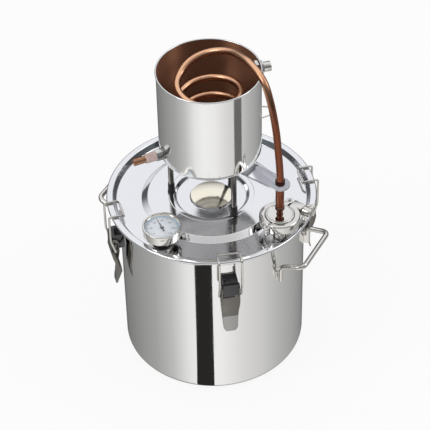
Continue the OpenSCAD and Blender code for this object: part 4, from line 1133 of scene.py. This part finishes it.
@dataclass
class Thermometer(Assembly):
    """Bimetal thermometer: drawn case, rolled bezel, domed lens, printed dial, needle and probe."""

    out: float = 110.9
    az: float = -36.0
    r: float = 25.8
    top: float = 276.0
    h: float = 18.0
    dial_z: float = 269.8
    lens_z: float = 273.4
    well_r: float = 21.5
    stem_r: float = 2.4
    print_r: float = 20.2
    number_r: float = 14.2
    number_h: float = 3.8
    needle_az: float = 202.0
    first_az: float = 315.0
    sweep: float = 270.0
    highest: int = 120

    def build(self) -> None:
        """Builds the thermometer from its case inwards."""
        where = at(polar(self.out, self.az))
        case_r, case_z, seat = self.r - 0.8, self.top - self.h, self.dial_z - 0.6
        case = [(self.stem_r, case_z), (6.5, case_z), (case_r - 4, case_z), (case_r, case_z + 4),
                (case_r, self.lens_z), (case_r - 1, self.lens_z), (case_r - 1, seat), (self.well_r, seat),
                (self.well_r, case_z + 1), (self.stem_r, case_z + 1)]
        cup = spun("case_cup", rounded(case, [0, 0, 1.2, 1.2, 0.3, 0.2, 0.2, 0.2, 0.2, 0]), where, 128)
        self.keep(cup, CASE_STEEL, "thermometer_case")
        low, lip = self.top - 5, self.r - 2.4
        inner, under = self.r - 0.75, self.top - 0.6
        bezel = [(inner, low), (self.r, low), (self.r, self.top), (lip, self.top), (lip, under),
                 (inner, under)]
        self.keep(spun("bezel_ring", rounded(bezel, [0.2, 0.35, 1.0, 0.28, 0.28, 0], 6), where, 128),
                  CASE_STEEL, "thermometer_bezel")
        crown, fall = self.top - 0.05, 0.6
        dome = [(case_r * k / 8, crown - fall * (k / 8) ** 2) for k in range(9)]
        lens = dome + [(case_r, self.lens_z), (0, self.lens_z)]
        self.keep(spun("lens_glass", lens, where, 96), LENS_GLASS, "thermometer_lens")
        self.dial(where)
        self.needle(where)
        self.ease("thermometer_nut", "stem_nut", FITTING_STEEL, 0.5)
        self.dress(BLACK_RUBBER, "thermometer_washer")
        self.dress(FITTING_STEEL, "thermometer_spindle", "thermometer_probe", "thermometer_locknut")
        self.dress(BIMETAL, "thermometer_coil")

    def dial(self, where: Matrix) -> None:
        """Builds the enamelled plate, its tinted band, its ticks and its numbers.

        Args:
            where: Frame of the thermometer.
        """
        z, per_degree = self.dial_z, self.sweep / self.highest
        face = spun("dial_face", eased([(1.5, z - 0.6), (23.85, z - 0.6), (23.85, z), (1.5, z)], 0.1), where)
        self.unmirrored(self.keep(face, DIAL_ENAMEL, "thermometer_dial"))
        band = spun("dial_band", [(20.6, z), (23.2, z), (23.2, z + 0.05), (20.6, z + 0.05)], where)
        self.unmirrored(self.keep(band, DIAL_BAND))
        ticks = []
        for value in range(0, self.highest + 1, 2):
            long = 3.0 if value % 20 == 0 else 2.4 if value % 10 == 0 else 1.5
            wide = 0.34 if value % 10 == 0 else 0.2
            az, half, inner = self.first_az - per_degree * value, wide / 2, long - self.print_r
            tick = [(-half, -self.print_r), (half, -self.print_r), (half, inner), (-half, inner)]
            ticks.append(plate("tick", tick, 0.08, where @ at((0, 0, z), az), 0))
        self.keep(joined(ticks, "dial_ticks"), DIAL_PRINT)
        numbers = []
        for value in range(0, self.highest + 1, 20):
            place = polar(self.number_r, self.first_az - per_degree * value, z)
            bpy.ops.object.select_all(action="DESELECT")
            bpy.ops.object.text_add()
            text = bpy.context.object
            text.data.body, text.data.size = str(value), self.number_h * MM
            text.data.align_x, text.data.align_y, text.data.extrude = "CENTER", "CENTER", 0.04 * MM
            bpy.ops.object.convert(target="MESH")
            numbers.append(settled(bpy.context.object, "number", where @ Matrix.Translation(place)))
        self.keep(joined(numbers, "dial_numbers"), DIAL_PRINT)

    def needle(self, where: Matrix) -> None:
        """Builds the needle with its round tail, and the cap on its hub.

        Args:
            where: Frame of the thermometer.
        """
        tilt = where @ at((0, 0, self.dial_z + 0.6), self.needle_az)
        tail = rounded([(-0.55, 2), (-0.55, 5.2), (-1.5, 7), (1.5, 7), (0.55, 5.2), (0.55, 2)],
                       [0, 0.5, 0.7, 0.7, 0.5, 0], 4)
        blade = [(0.75, 1.2), (0.7, -2.2), (0.14, -17.5), (-0.14, -17.5), (-0.7, -2.2), (-0.75, 1.2)]
        arm = plate("needle_arm", tail + blade, 0.5, tilt, 0.08)
        self.keep(arm, NEEDLE_BLACK, "thermometer_needle", body="gauge_hand")
        button = rounded([(0, 0), (2.2, 0), (2.2, 1.75), (0, 1.75)], [0, 0.1, 0.8, 0], 6)
        self.keep(spun("needle_cap", button, tilt, 40), NEEDLE_BLACK, body="gauge_hand")


@dataclass
class VapourPort(Assembly):
    """Clamped joint: ferrule, gasket, cap, two clamp halves on a hinge, swing bolt and wing nut."""

    frame_az: float = 54.0
    seal_z: float = 266.8
    edge_r: float = 22.5
    bore_r: float = 7.1
    neck_r: float = 8.7
    spigot_r: float = 4.15
    mid_z: float = 267.5
    bolt_pin: Pair = (29.8, 4.0)
    bolt_r: float = 2.5
    bolt_len: float = 32.0
    thread_z: float = 11.2
    pitch: float = 0.8
    nut_face: float = 22.0
    nut_len: float = 12.0
    nut_turn: float = 30.0
    nut_r: float = 7.0
    wing_half: float = 12.5
    wing_t: float = 2.4

    def build(self) -> None:
        """Builds the port from the lid upwards."""
        place = polar(self.port_out, self.port_az)
        where = at(place)
        clamp = place + Vector((0, 0, self.mid_z))
        plateau, seal, cap = self.edge_r - 3.2, self.seal_z, self.seal_z + 1.4
        ferrule = [(self.bore_r, self.panel_z), (self.neck_r, self.panel_z), (self.neck_r, seal - 3.8),
                   (plateau, seal - 3.8), (self.edge_r, seal - 2), (self.edge_r, seal), (self.bore_r, seal)]
        self.keep(spun("ferrule_turning", rounded(ferrule, [0, 0, 2.0, 0.6, 0.5, 0.3, 0.4]), where),
                  FITTING_STEEL, "lid_ferrule")
        root = self.neck_r - 0.3
        weld = [(root, self.panel_z - 0.1), (root + 2, self.panel_z - 0.1), (root + 1, self.panel_z + 0.9),
                (root, self.panel_z + 1.7)]
        self.keep(spun("ferrule_weld", eased(weld, 0.5), where, 72), FITTING_STEEL)
        self.dress(BLACK_RUBBER, "ferrule_gasket")
        top, groove = self.cap_z, self.cap_z - 1.0
        lid = [(self.spigot_r, cap), (self.edge_r, cap), (self.edge_r, cap + 2), (plateau, cap + 3.8),
               (plateau, top), (plateau - 1.3, top), (plateau - 1.8, groove), (plateau - 2.8, groove),
               (plateau - 3.3, top - 0.2), (self.spigot_r, top - 0.2)]
        self.keep(spun("cap_turning", rounded(lid, [0, 0.3, 0.5, 0.6, 0.8, 0.3, 0.3, 0.3, 0.3, 0]), where),
                  CASE_STEEL, "vapour_cap")
        for half in ("inner", "outer"):
            self.ease(f"clamp_half_{half}", f"clamp_shell_{half}", CLAMP_STEEL, 0.55)
        self.ease("clamp_hinge_pin", "hinge_pin_rivet", PIN_STEEL, 0.4)
        self.ease("clamp_bolt_pin", "bolt_pin_rivet", PIN_STEEL, 0.5)
        self.bolt(at(clamp, self.frame_az))

    def bolt(self, where: Matrix) -> None:
        """Builds the swing bolt with its eye and its real thread, and the wing nut on it.

        Args:
            where: Frame of the clamp.
        """
        hub = where @ Matrix.Translation((*self.bolt_pin, 0))
        along = hub @ Matrix.Rotation(math.pi / 2, 4, "X")
        core = self.bolt_r - 0.45
        shank = [(0, 3.4), (self.bolt_r - 0.1, 3.4), (self.bolt_r - 0.1, 11), (core, 11.5),
                 (core, self.bolt_len - 0.8), (core - 0.8, self.bolt_len), (0, self.bolt_len)]
        eye = spun("eye", eased([(1.85, -3), (4, -3), (4, 3), (1.85, 3)], 0.5), hub, 48)
        thread = outline_mesh([(core - 0.1, 0), (self.bolt_r, self.pitch / 2), (core - 0.1, self.pitch)],
                              upright=True, filled=False)
        turns = int((self.bolt_len - 1.0 - self.thread_z) / self.pitch)
        applied(thread, "SCREW", axis="Z", angle=2 * math.pi, screw_offset=self.pitch * MM, iterations=turns,
                steps=20, use_normal_calculate=True, use_merge_vertices=True)
        settled(thread, "thread", along @ Matrix.Translation((0, 0, self.thread_z)), 30)
        rod = joined([spun("shank", shank, along, 32), eye, thread], "swing_bolt_forging")
        self.keep(rod, FITTING_STEEL, "clamp_bolt", body="swing_bolt")
        self.wing_nut(along @ Matrix.Translation((0, 0, self.nut_face)))

    def wing_nut(self, where: Matrix) -> None:
        """Builds the cast wing nut: a tapered boss and two curved wings run together.

        Args:
            where: Frame whose +Z runs along the bolt from the nut's face.
        """
        turned = where @ Matrix.Rotation(math.radians(self.nut_turn), 4, "Z")
        length, span, bore = self.nut_len, self.wing_half, self.bolt_r + 0.1
        boss = [(bore, 0), (self.nut_r, 0), (self.nut_r * 0.84, length), (bore, length)]
        parts = [spun("boss", eased(boss, 0.8), turned, 48)]
        wing = rounded([(3.4, 1.0), (span * 0.7, 1.8), (span, 6.2), (span, 11.2), (span * 0.8, length),
                        (span * 0.6, 10.6), (span * 0.5, 8.2), (3.4, 7.4)], [0, 2, 3, 1.6, 1.4, 1.8, 2, 0], 5)
        stood = Matrix.Rotation(math.pi / 2, 4, "X") @ Matrix.Translation((0, 0, -self.wing_t / 2))
        for side in (0, math.pi):
            facing = turned @ Matrix.Rotation(side, 4, "Z") @ stood
            parts.append(plate("wing", wing, self.wing_t, facing, 0.7))
        self.keep(joined(parts, "wing_nut_casting"), CLAMP_STEEL, "clamp_wing_nut", body="wing_nut")


@dataclass
class Condenser(Assembly):
    """Cooling bucket on three legs, with the strap that steadies the pipe."""

    t: float = 1.0
    fillet: float = 8.0
    bead_d: float = 2.4
    leg_out: float = 53.8
    leg_d: float = 7.6
    tip_d: float = 10.4
    tip_h: float = 15.0
    leg_az: tuple[float, float, float] = (33.0, 149.0, 265.0)
    strap_w: float = 26.0
    strap_t: float = 2.4
    pipe_hole_r: float = 5.55
    leg_hole_r: float = 4.1

    def build(self) -> None:
        """Builds the bucket, its legs and the strap."""
        z0, z1, outer, bead = self.base_z, self.bucket_top, self.bucket_r, self.bead_d
        inner, rim = outer - self.t, outer + bead / 2
        outline = [(0, z0), (outer, z0), (outer, z1 - bead), (rim, z1 - bead), (rim, z1), (inner, z1),
                   (inner, z0 + self.t), (0, z0 + self.t)]
        radii = [0, self.fillet, 0.3, bead * 0.45, bead * 0.45, bead * 0.45, self.fillet - self.t, 0]
        shell = self.keep(spun("bucket_shell", rounded(outline, radii, 8), steps=224), BUCKET_STEEL,
                          "condenser_bucket")
        # The inside's warm brown is a painted reflection of the copper coil
        self.part(shell, INSIDE_COPPER_REFLECTION_STEEL, inner + 0.1, z0 + self.t / 2, z1, 1)
        # The underside's darker grey is painted shade under the bucket
        self.part(shell, UNDERSIDE_SHADE_STEEL, self.bucket_r - 4, z0 - 1, z0 + self.t / 2, -1)
        for n, az in enumerate(self.leg_az, 1):
            self.leg(n, az)
        self.strap()

    def leg(self, n: int, az: float) -> None:
        """Builds one tubular leg, the weld at its top and its rubber foot.

        Args:
            n: Number of the leg.
            az: Its azimuth.
        """
        where = at(polar(self.leg_out, az))
        r, z0, z1 = self.leg_d / 2, self.ledge_z + 2, self.base_z
        pipe = [(r - 1, z0), (r, z0), (r, z1), (r - 1, z1)]
        # The leg's dark grey is painted shade and a painted dark reflection under the bucket
        self.keep(spun(f"leg_tube_{n}", eased(pipe, 0.3), where, 40), LEG_SHADE_STEEL, f"condenser_leg_{n}")
        weld = [(r - 0.2, z1 - 1.8), (r + 0.5, z1 - 1.2), (r + 1.5, z1), (r - 0.2, z1)]
        self.keep(spun(f"leg_weld_{n}", eased(weld, 0.3), where, 40), LEG_SHADE_STEEL)
        tip, low, top = self.tip_d / 2, self.ledge_z, self.ledge_z + self.tip_h
        foot = [(0, low), (tip, low), (tip, low + 2.6), (tip - 0.5, low + 3.4), (tip - 0.7, top),
                (r + 0.05, top), (r + 0.05, low + 2), (0, low + 2)]
        cup = spun(f"leg_foot_{n}", rounded(foot, [0, 0.8, 0.6, 0.6, 0.5, 0.2, 0, 0], 4), where, 48)
        self.keep(cup, BLACK_RUBBER, *(("leg_tips",) if n == 1 else ()))

    def strap(self) -> None:
        """Builds the flat bar under the bucket, rounded round the pipe, with the holes for pipe and leg."""
        half, inner = self.strap_w / 2, self.leg_out - self.strap_w / 2
        outer = self.port_out + half
        outline = rounded([(-half, -inner), (-half, -outer), (half, -outer), (half, -inner)],
                          [1.5, half - 0.01, half - 0.01, 1.5], 12)
        below = at((0, 0, self.base_z - self.strap_t), self.port_az)
        bar = plate("strap_bar", outline, self.strap_t, below, 0)
        for out, az, r in ((self.port_out, self.port_az, self.pipe_hole_r),
                           (self.leg_out, self.leg_az[0], self.leg_hole_r)):
            drill = spun("drill", [(0, -9), (r, -9), (r, 9), (0, 9)], at(polar(out, az, self.base_z)), 48)
            applied(bar, "BOOLEAN", operation="DIFFERENCE", object=drill, solver="EXACT")
            bpy.data.objects.remove(drill)
        softened(bar, 0.35)
        self.unmirrored(self.keep(bar, STRAP_STEEL, "pipe_strap"))


@dataclass
class CopperLine(Assembly):
    """Copper line: collar, riser, brazed coupling and the coil, which is one unbroken tube."""

    riser_r: float = 5.5
    spigot_r: float = 4.1
    tube_r: float = 4.75
    wall: float = 1.0
    coil_r: float = 41.0
    turns: int = 3
    crest_rise: float = 16.5
    drop: float = 22.0
    first_az: float = 270.0
    exit_bend: float = 18.0
    exit_fall: float = 6.0
    exit_len: float = 18.5
    exit_straight: float = 19.0

    def build(self) -> None:
        """Builds the line from the cap to the outlet."""
        where = at(polar(self.port_out, self.port_az))
        r = self.riser_r
        neck, foot = self.spigot_r, self.cap_z + 9
        seat, end = self.cap_z - 0.2, self.cap_z - 6.8
        reducer = [(neck - 1, end), (neck, end), (neck, seat), (neck + 1.1, seat), (neck, seat + 1),
                   (neck, foot - 1), (r + 0.7, foot), (r + 0.7, foot + 4), (r + 0.05, foot + 4),
                   (r + 0.05, foot + 1), (neck - 1, foot + 1)]
        self.keep(spun("reducer_pressing", eased(reducer, 0.35, 4), where, 48), COLLAR_COPPER, "riser_collar")
        solder = [(r, foot + 3.7), (r + 0.55, foot + 3.7), (r + 0.3, foot + 4.4), (r, foot + 4.9)]
        self.keep(spun("reducer_solder", eased(solder, 0.2), where, 48), PIN_STEEL)
        riser = [(r - 1, foot + 1), (r, foot + 1), (r, self.base_z + 3), (r - 1, self.base_z + 3)]
        pipe = spun("riser_tube", eased(riser, 0.2), where, 48)
        # The riser's red-brown is partly tarnish and partly painted shade below the strap
        self.unmirrored(self.keep(pipe, RISER_SHADE_COPPER, "vapour_riser"))
        z, top, bore = self.base_z, self.base_z + 6, self.tube_r + 0.15
        socket = [(r + 0.05, z), (r + 0.85, z), (r + 0.9, z + 1.2), (r + 0.6, z + 1.7), (r + 0.6, top - 1.7),
                  (r + 0.9, top - 1.2), (r + 0.8, top), (bore, top), (bore, z + 3), (r + 0.05, z + 3)]
        coupling = spun("coupling_socket", eased(socket, 0.3, 4), where, 48)
        self.unmirrored(self.keep(coupling, RING_COPPER, "pipe_coupling"))
        coil = tube("coil_tube", self.route(), self.tube_r, sides=20, wall=self.wall)
        self.unmirrored(self.keep(coil, COIL_COPPER, "condenser_coil"))

    def tangent(self) -> Pair:
        """Length of the line from the riser to the coil's cylinder, and the azimuth where it touches."""
        return (math.sqrt(self.port_out ** 2 - self.coil_r ** 2),
                self.port_az + math.degrees(math.acos(self.coil_r / self.port_out)))

    def unrolled(self, s: float, z: float) -> Vector:
        """Finds a place on the unrolled plan: straight along the tangent, then round the coil's cylinder.

        Args:
            s: Way from the riser.
            z: Height.

        Returns:
            The place.
        """
        run, end_az = self.tangent()
        if s < run:
            start, end = polar(self.port_out, self.port_az), polar(self.coil_r, end_az)
            return start + (end - start) * s / run + Vector((0, 0, z))
        return polar(self.coil_r, end_az + math.degrees((s - run) / self.coil_r), z)

    def route(self) -> list[Vector]:
        """Follows the coil's middle, from the coupling over the rim, down its turns and out through the wall.

        Returns:
            The points on the way.
        """
        run, end_az = self.tangent()
        start_z, crest_z = self.base_z + 3, self.bucket_top + self.crest_rise
        first_z = self.bucket_top - self.drop
        swing = self.coil_r * math.radians(self.first_az - end_az)
        bend_r = self.coil_r + self.exit_bend
        exit_az = self.outlet_az - math.degrees(math.asin(self.exit_bend / bend_r))
        wound = 360 * self.turns + exit_az - self.first_az
        fall = first_z - self.outlet_z - self.exit_fall
        lead = [(0, 0), (0, 0.06), (0.02, 0.19), (0.055, 0.35), (0.09, 0.5), (0.15, 0.65), (0.23, 0.79),
                (0.34, 0.915), (0.48, 0.97), (0.66, 0.99), (0.84, 0.978)]
        guides = [(a * run, start_z + b * (crest_z - start_z)) for a, b in lead]
        guides += [(run + a * swing, first_z + b * (crest_z - first_z))
                   for a, b in ((0.334, 0.558), (0.634, 0.3), (0.833, 0.065))]
        slope = fall / wound * math.degrees(swing / 6 / self.coil_r)
        guides += [(run + swing * (1 + k / 6), first_z - k * slope) for k in (0, 1)]
        path = [self.unrolled(s, z) for s, z in smooth_line(guides, 10)]
        count = math.ceil(wound / 5)
        path += [polar(self.coil_r, self.first_az + wound * k / count, first_z - fall * k / count)
                 for k in range(count)]
        turn = 90 - (self.outlet_az - exit_az)
        for k in range(13):
            s = k / 12
            path.append(polar(bend_r, exit_az) + polar(self.exit_bend, exit_az + 180 - s * turn,
                        self.outlet_z + self.exit_fall * (1 - s) ** 2 * (1 + 2 * s)))
        end = self.bucket_r + self.exit_len
        return path + [polar(q, self.outlet_az, self.outlet_z) for q in (end - self.exit_straight, end)]


@dataclass
class Fittings(Assembly):
    """Bulkhead fittings in the bucket's wall: distillate outlet, two water nipples and the hose hook."""

    washer_out: float = 2.0
    hose_bore_r: float = 4.8
    spout_r: float = 4.75
    spout_bore_r: float = 3.75
    hook_az: float = 99.5
    hook_z: float = 379.0

    def build(self) -> None:
        """Builds the outlet, both nipples and the hook."""
        where = outward(self.outlet_az, self.outlet_z, self.bucket_r + self.washer_out)
        self.ease("outlet_fitting", "outlet_body", FITTING_STEEL, 0.5)
        self.dress(PIN_STEEL, "outlet_washer")
        self.dress(FITTING_STEEL, "outlet_locknut", "water_locknuts")
        self.dress(BLACK_RUBBER, "water_washers")
        bore = self.hose_bore_r
        hose = [(bore, 9), (6.7, 9), (6.75, 10.5), (6.4, 12), (6.4, 21.5), (6.0, 24), (bore, 24)]
        sleeve = spun("outlet_hose", rounded(hose, [0.3, 0.7, 1, 2, 2, 0.6, 0.3], 4), where, 48)
        self.unmirrored(self.keep(sleeve, PINK_SILICONE, "outlet_sleeve"))
        inner, outer = self.spout_bore_r, self.spout_r
        spout = [(inner, 16.5), (outer, 16.5), (outer, 40), (inner, 40)]
        pipe = spun("spout_tube", eased(spout, 0.3), where, 48)
        self.unmirrored(self.keep(pipe, SPOUT_COPPER, "outlet_spout"))
        for side in ("outlet", "inlet"):
            self.ease(f"water_{side}", f"water_body_{side}", FITTING_STEEL, 0.3)
        self.hook()

    def hook(self) -> None:
        """Builds the thin wire hook, whose ends pass into the bucket's wall."""
        out, wall = self.bucket_r + 13, self.bucket_r - 1
        path = bent([(-12.6, 1 - wall, self.hook_z), (-8, -out, self.hook_z), (8, -out, self.hook_z),
                     (12.6, 1 - wall, self.hook_z)], [0, 3, 3, 0], 8)
        self.keep(tube("hook_wire", path, 0.9, at((0, 0, 0), self.hook_az), 12), ROD_STEEL, "hose_hook")


@dataclass
class Studio:
    """Camera, floor, lamps and the pale surroundings that the steel mirrors."""

    place: tuple[float, float, float] = (0.0, -1.7702, 1.7926)
    yaw: float = 0.0023
    pitch: float = 0.7291
    roll: float = -0.0222
    focal_share: float = 4.0634
    sensor: float = 36.0
    floor_glow: float = 0.86

    def camera(self) -> None:
        """Sets the camera at the photograph's angle."""
        across = math.cos(self.pitch)
        forward = Vector((math.sin(self.yaw) * across, math.cos(self.yaw) * across, -math.sin(self.pitch)))
        level = Vector((math.cos(self.yaw), -math.sin(self.yaw), 0))
        above = level.cross(forward)
        right = math.cos(self.roll) * level + math.sin(self.roll) * above
        up = math.cos(self.roll) * above - math.sin(self.roll) * level
        data = bpy.data.cameras.new("camera")
        data.sensor_width = self.sensor
        data.lens = self.sensor * self.focal_share
        camera = bpy.data.objects.new("camera", data)
        bpy.context.scene.collection.objects.link(camera)
        turned = Matrix((right, up, -forward)).transposed().to_4x4()
        camera.matrix_world = Matrix.Translation(self.place) @ turned
        bpy.context.scene.camera = camera

    def floor(self) -> None:
        """Lays a white floor that keeps a faint shadow and doesn't show in the steel."""
        bpy.ops.object.select_all(action="DESELECT")
        bpy.ops.mesh.primitive_plane_add(size=8.0, location=(0, 0, -0.0006))
        floor = bpy.context.object
        floor.name = "floor"
        material = bpy.data.materials.new("floor_paper")
        nodes = Nodes.of(material)
        paper = nodes.add("BsdfDiffuse", {"Color": linear("#F4F3F1")}).outputs[0]
        share = nodes.calc("MULTIPLY", nodes.add("LightPath").outputs["Is Camera Ray"], self.floor_glow)
        mixed = nodes.add("MixShader", {0: share, 1: paper, 2: nodes.glow((1, 1, 1, 1))}).outputs[0]
        nodes.add("OutputMaterial", {"Surface": mixed})
        floor.data.materials.append(material)
        floor.visible_glossy = False

    def card(self, name: str, corners: list[Vector], colour: str) -> None:
        """Lays a card that only the polished steel sees.

        Args:
            name: Name of the card.
            corners: Its four corners.
            colour: Its hex colour.
        """
        piece = outline_mesh([(c.x, c.y) for c in corners], upright=False, filled=True)
        piece.name = name
        piece.location.z = -0.0004
        material = bpy.data.materials.new(name)
        nodes = Nodes.of(material)
        nodes.add("OutputMaterial", {"Surface": nodes.glow(linear(colour))})
        piece.data.materials.append(material)
        for kind in ("camera", "diffuse", "transmission", "shadow", "volume_scatter"):
            setattr(piece, f"visible_{kind}", False)

    def cards(self) -> None:
        """Lays the two dark cards whose stripes the pot and the bucket mirror."""
        strips = (("card_of_the_pot", 124.0, (-12.1, -0.9), 0.0, 262.0, "#2B2A28"),
                  ("card_of_the_bucket", 67.4, (28.4, 38.4), 345.0, 540.0, "#6E6D6B"))
        for name, r, (a, b), near, far, colour in strips:
            corners = [polar(r, a) + polar(near, 2 * a), polar(r, b) + polar(near, 2 * b),
                       polar(r, b) + polar(far, 2 * b), polar(r, a) + polar(far, 2 * a)]
            self.card(name, corners, colour)

    def world(self) -> None:
        """Surrounds the object with white, and gives polished steel a studio with a dark front to mirror."""
        world = bpy.data.worlds.new("studio")
        bpy.context.scene.world = world
        nodes = Nodes.of(world)
        way = nodes.add("TexCoord").outputs["Generated"]
        x, y, up = nodes.add("SeparateXYZ", {0: way}).outputs
        front = nodes.calc("MULTIPLY", y, -1.0)
        azimuth = nodes.calc("ARCTAN2", x, front)
        # Light that the floor sends up, brightest in front and left of it
        below = nodes.ramp(nodes.ranged(azimuth, (-math.pi, math.pi)), [
            (0.0, "#4C4C4C"), (0.06, "#7E7E7E"), (0.133, "#8F8F8E"), (0.178, "#9A9A9A"),
            (0.261, "#ACACAB"), (0.333, "#C8C8C7"), (0.403, "#F3F3F2"), (0.456, "#FFFFFF"),
            (0.528, "#FBFAF9"), (0.603, "#E7E6E5"), (0.692, "#D5D4D3"), (0.764, "#BEBEBD"),
            (0.85, "#A9A9A8"), (0.94, "#8C8C8C"), (1.0, "#4C4C4C")])
        # The dark front of the room stands behind the camera and brightens slowly with height
        high = nodes.ramp(up, [
            (0.0, "#3E4042"), (0.15, "#54575A"), (0.26, "#6C7276"), (0.36, "#7F8385"), (0.6, "#929394"),
            (0.75, "#A6A5A3"), (0.92, "#B4B3B1"), (1.0, "#D4D4D4")])
        # Round the sides and the back a dim band of furniture stands up to about 20 degrees
        sides = nodes.ramp(up, [
            (0.0, "#444446"), (0.28, "#5C5E60"), (0.42, "#D8DADE"), (0.56, "#F8FAFE"), (1.0, "#FFFFFF")])
        facing = nodes.ranged(front, (-0.1, 0.45), interpolation_type="SMOOTHSTEP")
        above = nodes.mixed(facing, sides, high)
        mirrored = nodes.mixed(nodes.ranged(up, (-0.12, -0.02)), below, above)
        path = nodes.add("LightPath").outputs
        room = nodes.mixed(path["Is Glossy Ray"], (0.8, 0.8, 0.81, 1), mirrored)
        clear = nodes.calc("MAXIMUM", path["Is Camera Ray"], path["Is Transmission Ray"])
        seen = nodes.mixed(clear, room, (1, 1, 1, 1))
        ground = nodes.add("Background", {"Color": seen, "Strength": 1.0}).outputs[0]
        nodes.add("OutputWorld", {"Surface": ground})

    def lamp(self, name: str, place: tuple[float, float, float], size: float, watts: float) -> None:
        """Hangs a square soft lamp that looks at the lid.

        Args:
            name: Name of the lamp.
            place: Its place in metres.
            size: Its side in metres.
            watts: Its power.
        """
        data = bpy.data.lights.new(name, "AREA")
        data.shape, data.size, data.energy = "SQUARE", size, watts
        lamp = bpy.data.objects.new(name, data)
        bpy.context.scene.collection.objects.link(lamp)
        lamp.location = place
        lamp.rotation_euler = (Vector(place) - Vector((0, 0, 0.26))).to_track_quat("Z", "Y").to_euler()

    def build(self) -> None:
        """Sets up the studio."""
        self.camera()
        self.floor()
        self.cards()
        self.world()
        self.lamp("lamp_left", (-1.5, -0.9, 2.0), 1.0, 9.0)
        self.lamp("lamp_right", (1.7, -0.3, 1.6), 0.8, 4.0)
        bpy.context.scene.view_settings.view_transform = "Standard"


def main() -> None:
    """Builds the studio and every sub-assembly."""
    logging.basicConfig(level=logging.INFO, format="%(message)s")
    Studio().build()
    parts: list[Assembly] = [Boiler(), Lid(), Thermometer(), VapourPort(), Condenser(), CopperLine(),
                             Fittings()]
    parts += [Latch(n=n, az=az) for n, az in enumerate((9.0, 102.5, 190.0, 284.5), 1)]
    for part in parts:
        LOG.info("Building %s", type(part).__name__)
        part.build()
    Assembly().dress(PIN_STEEL, "latch_pins")


if __name__ == "__main__":
    main()
